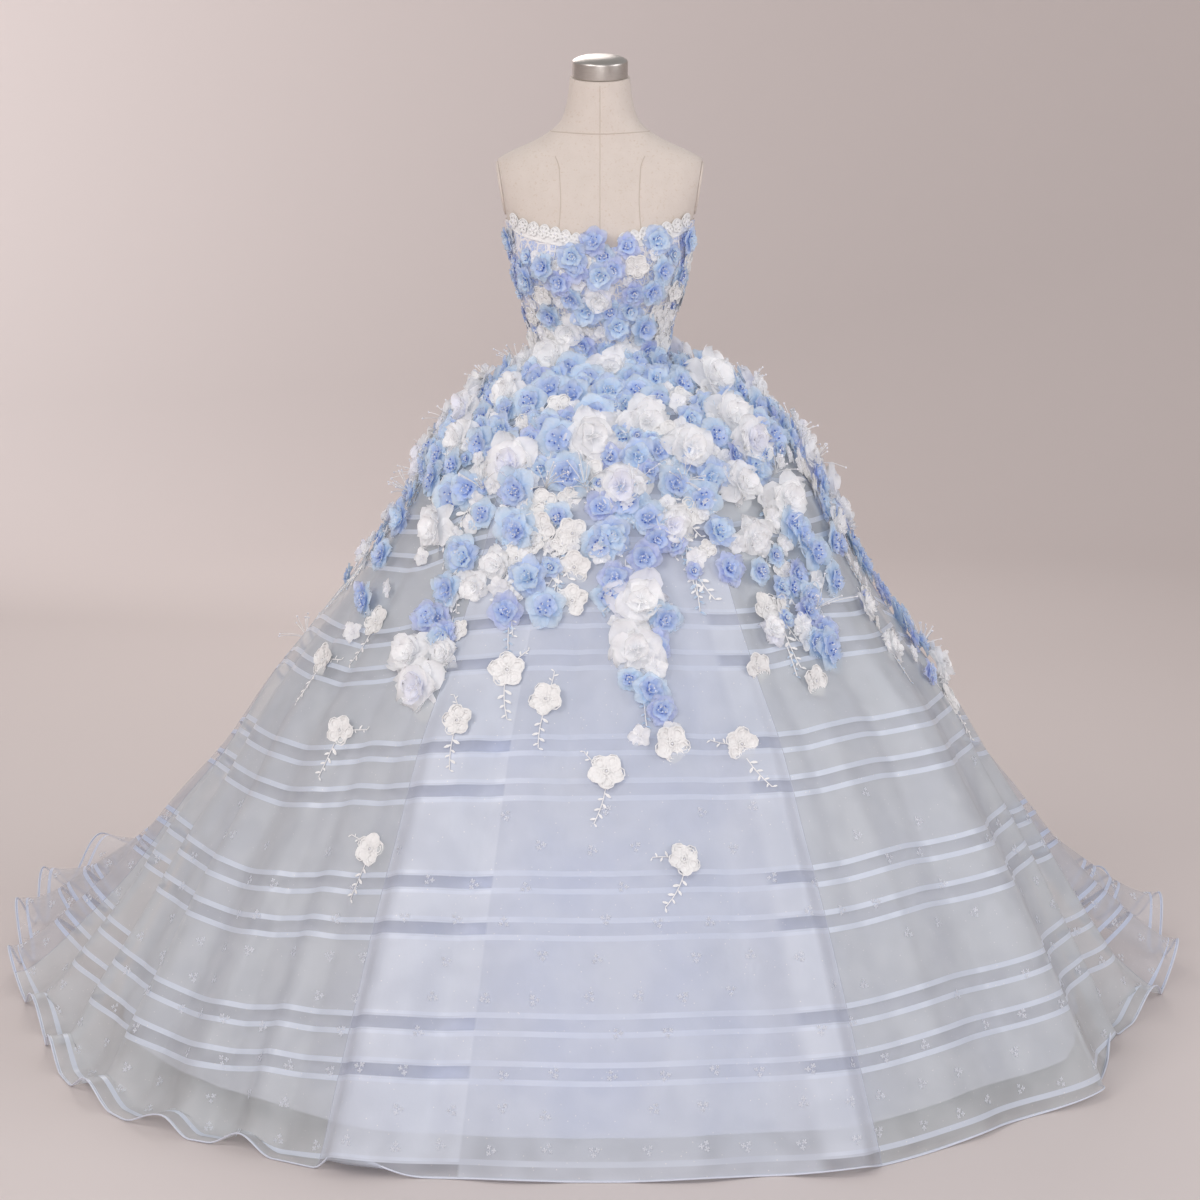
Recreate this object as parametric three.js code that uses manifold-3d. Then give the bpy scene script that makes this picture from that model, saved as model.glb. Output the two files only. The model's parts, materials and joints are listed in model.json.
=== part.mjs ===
// Ball gown with a train, standing on a limbless dress form. Units are millimetres, +Z is up.
// The origin is on the floor under the form's pole, and the gown faces -Y.
// Left and right are the wearer's: left is +X.
import * as THREE from "three";
import { mergeVertices } from "three/addons/utils/BufferGeometryUtils.js";
import Module from "manifold-3d";

const wasm = await Module();
wasm.setup();

// Driving sizes
const WAIST_Z = 1130; // height of the waist seam
const CLOTH = 1.5; // skirt cloth with its horsehair bands
const BODICE_CLOTH = 2; // boned bodice
const SEAM = 0.3; // gap between two sewn pieces
const EASE = 0.8; // gap between the form and the bodice
const UNDERSKIRT_IN = 16; // how far the underskirt lies inside the skirt, from its hips down
const HIPS_AT = 200; // how far down the skirt the hips are
const UNDERSKIRT_HEM_Z = 60;
const NECK_TILT = Math.tan(THREE.MathUtils.degToRad(12)); // the neck's top leans forward

// Arm plates: flat ovals that close the arm stumps and lean in at the bottom.
const PLATE = {
  x: 163,
  z: 1430,
  halfHeight: 45,
  halfWidth: 36,
  thick: 5,
  cut: 60,
  tilt: THREE.MathUtils.degToRad(9),
};

// Scalloped lace along each cup's upper edge: where it starts and ends round the body, how far its scallops
// and the dips between them stand above the neckline, and how far it laps down over the bodice.
const LACE = { from: 14, to: 70, stands: 13, dips: 6, laps: 9, thick: 1 };

const COLOURS = {
  linen: 0xd9ccb8,
  steel: 0x9a948c,
  iron: 0x2b2b2d,
  organza: 0xcdd2e2,
  underskirt: 0xbfc9e4,
  lace: 0xf1efe8,
  blueFlower: 0xa9c4ee,
};

// Sections of the form, from its flat bottom to the neck: half width, and depth to the front and back.
const FORM_SECTIONS = [
  { z: 850, half: 150, front: 104, back: 112, square: 2.2 },
  { z: 900, half: 160, front: 108, back: 122, square: 2.2 },
  { z: 960, half: 160, front: 106, back: 122, square: 2.2 },
  { z: 1030, half: 144, front: 98, back: 106, square: 2.15 },
  { z: 1090, half: 117, front: 88, back: 82, square: 2.1 },
  { z: 1130, half: 106, front: 82, back: 72, square: 2.1 },
  { z: 1170, half: 109, front: 86, back: 74, square: 2.1 },
  { z: 1225, half: 124, front: 102, back: 86, square: 2.2 },
  { z: 1275, half: 138, front: 120, back: 96, square: 2.3 },
  { z: 1310, half: 145, front: 124, back: 100, square: 2.35 },
  { z: 1345, half: 150, front: 117, back: 102, square: 2.4 },
  { z: 1385, half: 159, front: 102, back: 103, square: 2.5 },
  { z: 1425, half: 170, front: 86, back: 101, square: 2.6 },
  { z: 1455, half: 176, front: 72, back: 93, square: 2.5 },
  { z: 1476, half: 172, front: 62, back: 83, square: 2.3 },
  { z: 1492, half: 146, front: 56, back: 74, square: 2.2 },
  { z: 1508, half: 110, front: 52, back: 66, square: 2.1 },
  { z: 1524, half: 83, front: 52, back: 60, square: 2 },
  { z: 1540, half: 66, front: 52, back: 56, square: 2 },
  { z: 1560, half: 58, front: 52, back: 52, square: 2 },
  { z: 1585, half: 53, front: 50, back: 50, square: 2 },
  { z: 1612, half: 50, front: 50, back: 50, square: 2 },
];
const NECK_FROM_Z = 1536; // the tilt of the neck grows from here to its top
const NECK_TOP_Z = FORM_SECTIONS.at(-1).z;

// The bodice's upper edge round the body: a shallow dip in front, high at the sides, low behind.
const NECKLINE = [
  { around: 0, z: 1338 },
  { around: 14, z: 1342 },
  { around: 32, z: 1352 },
  { around: 58, z: 1366 },
  { around: 78, z: 1384 },
  { around: 92, z: 1380 },
  { around: 115, z: 1340 },
  { around: 150, z: 1302 },
  { around: 180, z: 1296 },
];

// Where the cloth meets the floor, and where its hem ends, as reach from the pole at each angle round.
const FLOOR_LINE = [
  { around: -180, meets: 900, hem: 1690 },
  { around: -162, meets: 905, hem: 1700 },
  { around: -142, meets: 905, hem: 1590 },
  { around: -126, meets: 900, hem: 1370 },
  { around: -112, meets: 890, hem: 1190 },
  { around: -96, meets: 880, hem: 1050 },
  { around: -80, meets: 870, hem: 960 },
  { around: -64, meets: 870, hem: 945 },
  { around: -50, meets: 860, hem: 925 },
  { around: -38, meets: 850, hem: 880 },
  { around: -27, meets: 862, hem: 872 },
  { around: -12, meets: 826, hem: 828 },
  { around: 0, meets: 818, hem: 820 },
  { around: 14, meets: 824, hem: 826 },
  { around: 28, meets: 860, hem: 862 },
  { around: 45, meets: 850, hem: 852 },
  { around: 61, meets: 896, hem: 898 },
  { around: 76, meets: 870, hem: 885 },
  { around: 92, meets: 870, hem: 990 },
  { around: 108, meets: 880, hem: 1120 },
  { around: 122, meets: 890, hem: 1230 },
  { around: 135, meets: 900, hem: 1300 },
  { around: 150, meets: 905, hem: 1440 },
  { around: 165, meets: 905, hem: 1590 },
  { around: 180, meets: 900, hem: 1690 },
];

// The bell of the skirt: share of the way out from the waist to the floor, at each height, how much less that
// is on the wearer's right, where it falls steeper, and the share of the cloth that lies on the floor by which
// the train sweeps out beyond that.
const BELL = [
  { z: 1130, out: 0, right: 0, sweep: 0 },
  { z: 1122, out: 0.06, right: 0.02, sweep: 0 },
  { z: 1105, out: 0.135, right: 0.06, sweep: 0 },
  { z: 1060, out: 0.222, right: 0.085, sweep: 0 },
  { z: 1005, out: 0.29, right: 0.085, sweep: 0 },
  { z: 935, out: 0.345, right: 0.08, sweep: 0 },
  { z: 850, out: 0.398, right: 0.065, sweep: 0 },
  { z: 760, out: 0.465, right: 0.04, sweep: 0 },
  { z: 670, out: 0.545, right: 0.03, sweep: 0 },
  { z: 581, out: 0.63, right: 0.03, sweep: 0 },
  { z: 443, out: 0.725, right: 0.025, sweep: 0.03 },
  { z: 341, out: 0.795, right: 0.015, sweep: 0.12 },
  { z: 203, out: 0.88, right: 0.01, sweep: 0.27 },
  { z: 100, out: 0.942, right: 0, sweep: 0.5 },
];

// Pleats and standing folds: how far each rises off the bell at the hem, its width to either side in
// degrees, and the share of the length where it starts.
const FOLDS = [
  { around: -26, rise: 34, before: 3, after: 9, from: 0.28 },
  { around: -38, rise: 26, before: 4, after: 4, from: 0.55 },
  { around: -47, rise: 30, before: 6, after: 3, from: 0.3 },
  { around: -60, rise: 34, before: 5, after: 5, from: 0.3 },
  { around: -73, rise: 40, before: 5, after: 5, from: 0.3 },
  { around: -86, rise: 46, before: 6, after: 5, from: 0.32 },
  { around: -99, rise: 66, before: 5, after: 6, from: 0.3 },
  { around: -111, rise: 84, before: 5, after: 5, from: 0.3 },
  { around: -122, rise: 70, before: 5, after: 5, from: 0.32 },
  { around: -134, rise: 52, before: 5, after: 6, from: 0.3 },
  { around: -147, rise: 44, before: 6, after: 6, from: 0.3 },
  { around: -161, rise: 40, before: 6, after: 7, from: 0.3 },
  { around: -173, rise: 34, before: 5, after: 5, from: 0.3 },
  { around: -9, rise: 10, before: 7, after: 7, from: 0.4 },
  { around: 10, rise: 12, before: 8, after: 8, from: 0.4 },
  { around: 26, rise: 30, before: 8, after: 3, from: 0.28 },
  { around: 43, rise: 12, before: 6, after: 7, from: 0.4 },
  { around: 60, rise: 30, before: 9, after: 4, from: 0.26 },
  { around: 76, rise: 34, before: 5, after: 5, from: 0.3 },
  { around: 89, rise: 44, before: 5, after: 6, from: 0.3 },
  { around: 102, rise: 62, before: 6, after: 5, from: 0.3 },
  { around: 114, rise: 80, before: 5, after: 5, from: 0.3 },
  { around: 126, rise: 60, before: 5, after: 6, from: 0.3 },
  { around: 139, rise: 44, before: 6, after: 5, from: 0.3 },
  { around: 153, rise: 46, before: 6, after: 6, from: 0.3 },
  { around: 167, rise: 38, before: 6, after: 6, from: 0.3 },
];

// Hanging sprays of blossom: angle round, where each starts and ends down the skirt from the waist, how far
// it drifts round on the way, and the radius of its largest blossom.
const SPRAYS = [
  { name: "spray_front_centre", around: 5, starts: 250, ends: 660, drift: 3, bloom: 38 },
  { name: "spray_front_right_1", around: -8, starts: 250, ends: 460, drift: -2, bloom: 34 },
  { name: "spray_front_right_2", around: -19, starts: 250, ends: 540, drift: 0, bloom: 36 },
  { name: "spray_side_right_1", around: -38, starts: 250, ends: 620, drift: 8, bloom: 38 },
  { name: "spray_side_right_2", around: -78, starts: 250, ends: 500, drift: -6, bloom: 38 },
  { name: "spray_side_right_3", around: -116, starts: 250, ends: 450, drift: -3, bloom: 38 },
  { name: "spray_front_left_1", around: 19, starts: 250, ends: 460, drift: 3, bloom: 36 },
  { name: "spray_front_left_2", around: 50, starts: 250, ends: 600, drift: -12, bloom: 38 },
  { name: "spray_side_left_1", around: 80, starts: 250, ends: 660, drift: -16, bloom: 38 },
  { name: "spray_side_left_2", around: 109, starts: 250, ends: 450, drift: 4, bloom: 38 },
  { name: "spray_back_left", around: 142, starts: 250, ends: 540, drift: 3, bloom: 38 },
  { name: "spray_back_centre", around: 176, starts: 250, ends: 460, drift: 2, bloom: 38 },
  { name: "spray_back_right", around: -148, starts: 250, ends: 540, drift: -3, bloom: 38 },
];
const SPRAY_STEP = 1.3; // from one blossom to the next, in radii of the largest
const SPRAY_TAPER = 0.1; // how much smaller a spray's last blossom is

// Rows of blossom round the waist, at each distance down the skirt.
const WAIST_ROWS = [
  { down: 45, count: 13, bloom: 50 },
  { down: 120, count: 17, bloom: 52 },
  { down: 196, count: 21, bloom: 53 },
];
const WAIST_SECTORS = [
  { name: "waist_flowers_front", middle: 0 },
  { name: "waist_flowers_left", middle: 90 },
  { name: "waist_flowers_back", middle: 180 },
  { name: "waist_flowers_right", middle: -90 },
];

// Rows of blossom on the bodice, at each height: they reach the same angle to both sides.
const BODICE_ROWS = [
  { z: 1170, reach: 50, count: 7, bloom: 29 },
  { z: 1207, reach: 56, count: 8, bloom: 29 },
  { z: 1244, reach: 60, count: 9, bloom: 29 },
  { z: 1281, reach: 60, count: 10, bloom: 29 },
];
const SEWN = SEAM + 0.05; // from a blossom's point to the cloth
const CLEAR = 0.4; // between neighbouring clusters
const UNDER_WAIST = 20; // how far the bodice's core reaches down into the skirt's
const PETALS = 5;

// A blossom as shares of its radius: how high its cup rises, where the notches between its petals lie, out
// and up, how high its middle is, and how high the flatter cups of the bodice rise.
const BLOSSOM = { cup: 0.42, notchOut: 0.76, notchUp: 0.72, middleUp: 0.3, flatCup: 0.34 };
const GOLDEN = Math.PI * (3 - Math.sqrt(5)); // turn from one blossom to the next

// Rows of the skirt's walls, as shares of their length.
const SKIRT_ROWS = [0, 0.022, 0.07, 0.13, 0.21, 0.31, 0.43, 0.56, 0.68, 0.79, 0.9, 1];
const CORE_ROWS = 9; // the rows that flowers reach
const UNDERSKIRT_STEP = 12; // degrees between the columns of the underskirt
const UNDERSKIRT_TOP_ROWS = 4; // rows that it shares with the skirt
const UNDERSKIRT_LOW_ROWS = 5;

// Heights of the bodice's rows, level with the form's sections. The last rows close up below the neckline,
// and one more follows its upper edge.
const BODICE_HEIGHTS = [WAIST_Z + CLOTH + SEAM, 1170, 1225, 1275, 1310, 1345];
const BODICE_LEVELS = [...BODICE_HEIGHTS.keys(), BODICE_HEIGHTS.length];
const LEAST_ROW = 7;
const BODICE_STEP = 9; // degrees between the columns of the bodice and the form, or a little less or more

// Profiles from the axis out and back to it, as radius and height.
const CAP_GAP = 1.3 * SEAM; // above the neck, as both lean
const NECK_CAP = [[0, 0], [46, 0], [46.5, 1.5], [46.5, 26], [44, 30], [34, 33.5], [16, 35.5], [0, 36]];
const BASE_TOP = 12;
const BASE = [[0, 0], [190, 0], [195, 3], [192, 7], [60, BASE_TOP], [0, BASE_TOP]];
const POLE_FOOT = BASE_TOP + SEAM;
const POLE_TOP = FORM_SECTIONS[0].z - SEAM;
const POLE = [[0, POLE_FOOT], [34, POLE_FOOT], [34, 30], [22, 42], [17, 44], [17, POLE_TOP], [0, POLE_TOP]];

const SKIRT_PANELS = [
  { name: "skirt_front", from: -29, to: 29 },
  { name: "skirt_side_left", from: 29, to: 96 },
  { name: "skirt_side_right", from: -96, to: -29 },
  { name: "train_left", from: 96, to: 180 },
  { name: "train_right", from: -180, to: -96 },
];

const UNDERSKIRT_PANELS = [
  { name: "underskirt_front", from: -48, to: 48 },
  { name: "underskirt_left", from: 48, to: 132 },
  { name: "underskirt_back", from: 132, to: 228 },
  { name: "underskirt_right", from: -132, to: -48 },
];

// Where the cloth turns from hanging to lying: how much lies before it sweeps and before it fully does, how
// high it bends, how far it pulls in there and how far a train sweeps out, and where it comes down, short or
// swept, as shares of what lies, and how high.
const TURN = {
  from: 20, full: 160, high: 34, low: 2, pullsIn: 0.008, sweep: 0.68,
  downAt: 0.18, sweptAt: 0.86, downHigh: 8, least: 8,
};

const BODICE_PANELS = [
  { name: "bodice_front", from: -24, to: 24 },
  { name: "bodice_side_front_left", from: 24, to: 78 },
  { name: "bodice_side_front_right", from: -78, to: -24 },
  { name: "bodice_side_back_left", from: 78, to: 134 },
  { name: "bodice_side_back_right", from: -134, to: -78 },
  { name: "bodice_back_left", from: 134, to: 180 },
  { name: "bodice_back_right", from: -180, to: -134 },
];

const radians = THREE.MathUtils.degToRad;
const smooth = (x, low, high) => THREE.MathUtils.smoothstep(x, low, high);

// The value of a table's column at x, eased between its rows.
function lookUp(table, key, x, column) {
  const rising = table[0][key] < table.at(-1)[key];
  const i = table.findIndex((row) => (rising ? row[key] >= x : row[key] <= x));
  if (i === 0) return table[0][column];
  if (i < 0) return table.at(-1)[column];
  const [a, b] = [table[i - 1], table[i]];
  return THREE.MathUtils.lerp(a[column], b[column], (x - a[key]) / (b[key] - a[key]));
}

// Distance from the form's axis to a section's outline, in the direction `around`.
function outlineReach(section, around) {
  const sine = Math.abs(Math.sin(radians(around)));
  const cosine = Math.cos(radians(around));
  const depth = cosine > 0 ? section.front : section.back;
  const n = section.square;
  return ((sine / section.half) ** n + (Math.abs(cosine) / depth) ** n) ** (-1 / n);
}

function formReach(around, z) {
  const columns = ["half", "front", "back", "square"];
  const section = Object.fromEntries(columns.map((c) => [c, lookUp(FORM_SECTIONS, "z", z, c)]));
  return outlineReach(section, around);
}

// A point at a reach from the axis, in the direction `around`: 0 is the front, 90 the wearer's left.
function polar(around, reach, z) {
  return new THREE.Vector3(Math.sin(radians(around)) * reach, -Math.cos(radians(around)) * reach, z);
}

// The bell's line at one angle, from the waist out to the hem, as points with their length so far.
function bellLine(around, train = true) {
  const meets = lookUp(FLOOR_LINE, "around", around, "meets");
  const hem = lookUp(FLOOR_LINE, "around", around, "hem");
  const waist = formReach(around, WAIST_Z) + EASE + BODICE_CLOTH;
  const lies = hem - meets;
  const turned = smooth(lies, TURN.from, TURN.full);
  const swept = train ? lies * turned : 0;
  const toRight = Math.max(0, -Math.sin(THREE.MathUtils.degToRad(around))) ** 2;
  const line = BELL.map(({ z, out, right, sweep }) => {
    const share = out - right * toRight;
    return { reach: waist + (meets - waist) * share + swept * sweep, z };
  });
  const bends = THREE.MathUtils.lerp(TURN.low, TURN.high, turned);
  line.push({ reach: meets * (1 - TURN.pullsIn * turned) + swept * TURN.sweep, z: bends });
  const downAt = THREE.MathUtils.lerp(TURN.downAt, TURN.sweptAt, train ? turned : 0);
  if (lies > TURN.least) line.push({ reach: meets + lies * downAt, z: TURN.downHigh * turned });
  line.push({ reach: Math.max(hem, meets + 1), z: 0 });
  let length = 0;
  line.forEach((p, i) => {
    if (i) length += Math.hypot(p.reach - line[i - 1].reach, p.z - line[i - 1].z);
    p.length = length;
  });
  return line;
}

function bellPoint(around, down, train = true) {
  const line = bellLine(around, train);
  const at = down * line.at(-1).length;
  return polar(around, lookUp(line, "length", at, "reach"), lookUp(line, "length", at, "z"));
}

function normalOf(point, around, down) {
  const turn = 0.6;
  const step = 0.012;
  const across = point(around + turn, down).sub(point(around - turn, down));
  const along = point(around, Math.min(1, down + step)).sub(point(around, Math.max(0, down - step)));
  return along.cross(across).normalize();
}

// How far the folds lift the cloth off the bell.
function foldRise(around, down) {
  return FOLDS.reduce((sum, fold) => {
    const off = ((around - fold.around + 540) % 360) - 180;
    const side = off < 0 ? fold.before : fold.after;
    const lift = Math.max(0, 1 - Math.abs(off) / side);
    return sum + fold.rise * lift * lift * (3 - 2 * lift) * smooth(down, fold.from, 1.05);
  }, 0);
}

// The skirt's inner face.
function skirtPoint(around, down) {
  const normal = normalOf(bellPoint, around, down);
  const point = bellPoint(around, down).addScaledVector(normal, foldRise(around, down));
  point.z = Math.max(0, point.z);
  return point;
}

function geometryOf(points, faces) {
  const geometry = new THREE.BufferGeometry();
  geometry.setAttribute("position", new THREE.Float32BufferAttribute(points.flatMap((p) => [p.x, p.y, p.z]), 3));
  geometry.setIndex(faces);
  geometry.computeVertexNormals();
  return geometry;
}

// A closed wall over a grid: outer[i][j] and inner[i][j], with i round the body and j going down.
function wallGeometry(outer, inner, ring = false) {
  const columns = outer.length;
  const rows = outer[0].length;
  const points = [...outer.flat(), ...inner.flat()];
  const o = (i, j) => (i % columns) * rows + j;
  const n = (i, j) => columns * rows + o(i, j);
  const faces = [];
  const quad = (a, b, c, d) => faces.push(a, b, c, a, c, d);
  const last = rows - 1;
  for (let i = 0; i < (ring ? columns : columns - 1); i++) {
    for (let j = 0; j < last; j++) {
      quad(o(i, j), o(i, j + 1), o(i + 1, j + 1), o(i + 1, j));
      quad(n(i, j), n(i + 1, j), n(i + 1, j + 1), n(i, j + 1));
    }
    quad(o(i, 0), o(i + 1, 0), n(i + 1, 0), n(i, 0));
    quad(o(i + 1, last), o(i, last), n(i, last), n(i + 1, last));
  }
  if (!ring)
    for (let j = 0; j < last; j++) {
      quad(o(0, j + 1), o(0, j), n(0, j), n(0, j + 1));
      quad(o(columns - 1, j), o(columns - 1, j + 1), n(columns - 1, j + 1), n(columns - 1, j));
    }
  return geometryOf(points, faces);
}

// Angles from one edge of a panel to the other, each edge half a seam inside it at every row.
function panelGrid(panel, angles, rows, pointAt) {
  return angles.map((around, i) =>
    rows.map((row) => {
      const edge = i === 0 ? 1 : i === angles.length - 1 ? -1 : 0;
      const reach = Math.hypot(...pointAt(around, row).toArray().slice(0, 2));
      return pointAt(around + (edge * THREE.MathUtils.radToDeg(SEAM / 2)) / reach, row);
    }),
  );
}

// Angles for a skirt panel: its edges, and the foot, crest and far flank of every fold inside it.
function skirtAngles({ from, to }) {
  const inside = FOLDS.flatMap((f) => [
    f.around - f.before,
    f.around,
    f.around + f.after * 0.6,
  ]).filter((a) => a > from + 1 && a < to - 1);
  const sorted = [from, ...inside.sort((a, b) => a - b), to];
  return sorted.filter((a, i) => i === 0 || i === sorted.length - 1 || a - sorted[i - 1] > 1.8);
}

// Angles for a bodice panel, and for the form under it, so that their faces lie level with each other.
function bodiceAngles({ from, to }) {
  const steps = Math.round((to - from) / BODICE_STEP);
  return Array.from({ length: steps + 1 }, (_, i) => THREE.MathUtils.lerp(from, to, i / steps));
}

// The angles of all panels round the body, each once.
function allAngles(panels, anglesOf) {
  return panels.flatMap((panel) => anglesOf(panel).slice(0, -1)).sort((a, b) => a - b);
}

const meshes = [];
function add(name, geometry, colour, roughness = 0.8, metalness = 0) {
  const mesh = new THREE.Mesh(geometry, new THREE.MeshStandardMaterial({ color: colour, roughness, metalness }));
  mesh.name = name;
  meshes.push(mesh);
  return mesh;
}

// three.js geometry to a solid that can be cut and joined, and back.
function solidOf(geometry) {
  const plain = geometry.clone();
  plain.deleteAttribute("normal");
  plain.deleteAttribute("uv");
  const merged = mergeVertices(plain, 1e-3);
  return new wasm.Manifold(
    new wasm.Mesh({
      numProp: 3,
      vertProperties: merged.attributes.position.array,
      triVerts: new Uint32Array(merged.index.array),
    }),
  );
}

function geometryOfSolid(solid) {
  const mesh = solid.getMesh();
  const geometry = new THREE.BufferGeometry();
  geometry.setAttribute("position", new THREE.BufferAttribute(mesh.vertProperties, 3));
  geometry.setIndex(new THREE.BufferAttribute(mesh.triVerts, 1));
  geometry.computeVertexNormals();
  return geometry;
}

// The largest of a solid's separate pieces.
const largestPiece = (solid) => solid.decompose().sort((a, b) => b.volume() - a.volume())[0];

// A closed solid through rings of points, from the lowest to the highest, with flat ends.
function loftGeometry(rings) {
  const columns = rings[0].length;
  const middle = (ring) => ring.reduce((sum, p) => sum.add(p), new THREE.Vector3()).divideScalar(columns);
  const points = [...rings.flat(), middle(rings[0]), middle(rings.at(-1))];
  const [foot, top] = [points.length - 2, points.length - 1];
  const faces = [];
  for (let i = 0; i < columns; i++) {
    const next = (i + 1) % columns;
    for (let j = 0; j < rings.length - 1; j++) {
      const [a, b] = [j * columns, (j + 1) * columns];
      faces.push(a + i, a + next, b + i, a + next, b + next, b + i);
    }
    const last = (rings.length - 1) * columns;
    faces.push(foot, next, i, top, last + i, last + next);
  }
  return geometryOf(points, faces);
}

const roundAngles = (count, turn = 0) => Array.from({ length: count }, (_, i) => ((i + turn) * 360) / count);

// The padded torso, with its neck leaning forward and its arm stumps cut flat for the arm plates.
function formSolid() {
  const angles = allAngles(BODICE_PANELS, bodiceAngles);
  const rings = FORM_SECTIONS.map((section) =>
    angles.map((around) => {
      const point = polar(around, outlineReach(section, around), section.z);
      point.z += NECK_TILT * point.y * smooth(section.z, NECK_FROM_Z, NECK_TOP_Z);
      return point;
    }),
  );
  let solid = solidOf(loftGeometry(rings));
  for (const side of [-1, 1]) {
    const cutter = new THREE.BoxGeometry(PLATE.cut, 400, 400);
    cutter.translate(PLATE.cut / 2, 0, 0);
    solid = solid.subtract(solidOf(placeAtArm(cutter, side)));
  }
  return solid;
}

// Moves a geometry whose +X faces out of the arm to its place on one side.
function placeAtArm(geometry, side) {
  const matrix = new THREE.Matrix4().makeTranslation(side * PLATE.x, 0, PLATE.z);
  matrix.multiply(new THREE.Matrix4().makeRotationZ(side > 0 ? 0 : Math.PI));
  matrix.multiply(new THREE.Matrix4().makeRotationY(PLATE.tilt));
  return geometry.applyMatrix4(matrix);
}

// A turned piece with its axis upright.
function turned(profile, segments) {
  const points = profile.map(([radius, height]) => new THREE.Vector2(radius, height));
  return new THREE.LatheGeometry(points, segments).rotateX(Math.PI / 2);
}

function addForm() {
  add("form_torso", geometryOfSolid(formSolid()), COLOURS.linen, 0.9);
  for (const [name, side] of [["arm_plate_left", 1], ["arm_plate_right", -1]]) {
    const disc = new THREE.CylinderGeometry(1, 1, PLATE.thick, 28);
    disc.rotateZ(-Math.PI / 2);
    disc.scale(1, PLATE.halfHeight, PLATE.halfWidth);
    disc.rotateX(Math.PI / 2);
    disc.translate(PLATE.thick / 2 + SEAM, 0, 0);
    add(name, placeAtArm(disc, side), COLOURS.linen, 0.9);
  }
  const cap = turned(NECK_CAP, 28).rotateX(Math.atan(NECK_TILT));
  add("neck_cap", cap.translate(0, 0, NECK_TOP_Z + CAP_GAP), COLOURS.steel, 0.3, 1);
  add("form_pole", turned(POLE, 18), COLOURS.steel, 0.35, 1);
  add("form_base", turned(BASE, 32), COLOURS.iron, 0.6, 0.4);
}

function skirtOuterPoint(around, down, out = CLOTH) {
  const point = skirtPoint(around, down).addScaledVector(normalOf(skirtPoint, around, down), out);
  point.z = Math.max(0, point.z);
  return point;
}

function addSkirt() {
  for (const panel of SKIRT_PANELS) {
    const angles = skirtAngles(panel);
    const outer = panelGrid(panel, angles, SKIRT_ROWS, skirtOuterPoint);
    const inner = panelGrid(panel, angles, SKIRT_ROWS, skirtPoint);
    add(panel.name, wallGeometry(outer, inner), COLOURS.organza);
  }
}

// The underskirt is a plain bell of four gores, sewn in at the waist, without the sweep of the train. It lies
// further in from the hips down, and ends in a level hem above the floor.
function underskirtPoint(angle, row, out = 0) {
  const around = angle > 180 ? angle - 360 : angle;
  const line = bellLine(around, false);
  const whole = line.at(-1).length;
  const hem = lookUp(line, "z", UNDERSKIRT_HEM_Z, "length") / whole;
  const lastShared = UNDERSKIRT_TOP_ROWS - 1;
  const lower = (row - lastShared) / UNDERSKIRT_LOW_ROWS;
  const down = (SKIRT_ROWS[Math.min(row, lastShared)] * bellLine(around).at(-1).length) / whole;
  const at = row <= lastShared ? down : THREE.MathUtils.lerp(down, hem, lower);
  const inset = SEAM + UNDERSKIRT_IN * smooth(at * whole, 0, HIPS_AT);
  const plainPoint = (turn, share) => bellPoint(turn, share, false);
  return plainPoint(around, at).addScaledVector(normalOf(plainPoint, around, at), out - inset);
}

function addUnderskirt() {
  const rows = Array.from({ length: UNDERSKIRT_TOP_ROWS + UNDERSKIRT_LOW_ROWS }, (_, j) => j);
  for (const panel of UNDERSKIRT_PANELS) {
    const count = (panel.to - panel.from) / UNDERSKIRT_STEP;
    const angles = Array.from({ length: count + 1 }, (_, i) => panel.from + i * UNDERSKIRT_STEP);
    const outer = panelGrid(panel, angles, rows, underskirtPoint);
    const inner = panelGrid(panel, angles, rows, (around, row) => underskirtPoint(around, row, -CLOTH));
    add(panel.name, wallGeometry(outer, inner), COLOURS.underskirt);
  }
}

// A point over the form, by height.
function bodiceAt(around, z, out = 0) {
  return polar(around, formReach(around, z) + EASE + out, z);
}

function necklineZ(around) {
  return lookUp(NECKLINE, "around", Math.abs(around), "z");
}

// A point on the bodice, by level from the waist up.
function bodicePoint(around, row, out = 0) {
  const level = BODICE_HEIGHTS[row] ?? Infinity;
  return bodiceAt(around, Math.min(level, necklineZ(around) - (BODICE_HEIGHTS.length - row) * LEAST_ROW), out);
}

function addBodice() {
  const rows = BODICE_LEVELS.toReversed();
  for (const panel of BODICE_PANELS) {
    const angles = bodiceAngles(panel);
    const outer = panelGrid(panel, angles, rows, (a, r) => bodicePoint(a, r, BODICE_CLOTH));
    const inner = panelGrid(panel, angles, rows, bodicePoint);
    add(panel.name, wallGeometry(outer, inner), COLOURS.lace);
  }
}

// Scalloped lace along the upper edge of each cup. It has a dip over each of the bodice's columns and a
// scallop between them, so that its faces lie level with the bodice's.
function addNecklineLace() {
  const dips = allAngles(BODICE_PANELS, bodiceAngles).filter((a) => a > LACE.from && a < LACE.to);
  const onLeft = dips.flatMap((a, i) => (i ? [(a + dips[i - 1]) / 2, a] : [a]));
  const onRight = onLeft.map((around) => -around).reverse();
  const wall = (columns, out) =>
    columns.map((around, i) => {
      const top = necklineZ(around);
      const lap = bodicePoint(around, BODICE_HEIGHTS.length - 1).z;
      const edge = top + (i % 2 ? LACE.stands : LACE.dips);
      return [edge, top, lap, lap - LACE.laps].map((z) => bodiceAt(around, z, BODICE_CLOTH + SEAM + out));
    });
  for (const [name, columns] of [["neckline_lace_left", onLeft], ["neckline_lace_right", onRight]])
    add(name, wallGeometry(wall(columns, LACE.thick), wall(columns, 0)), COLOURS.lace);
}

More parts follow.
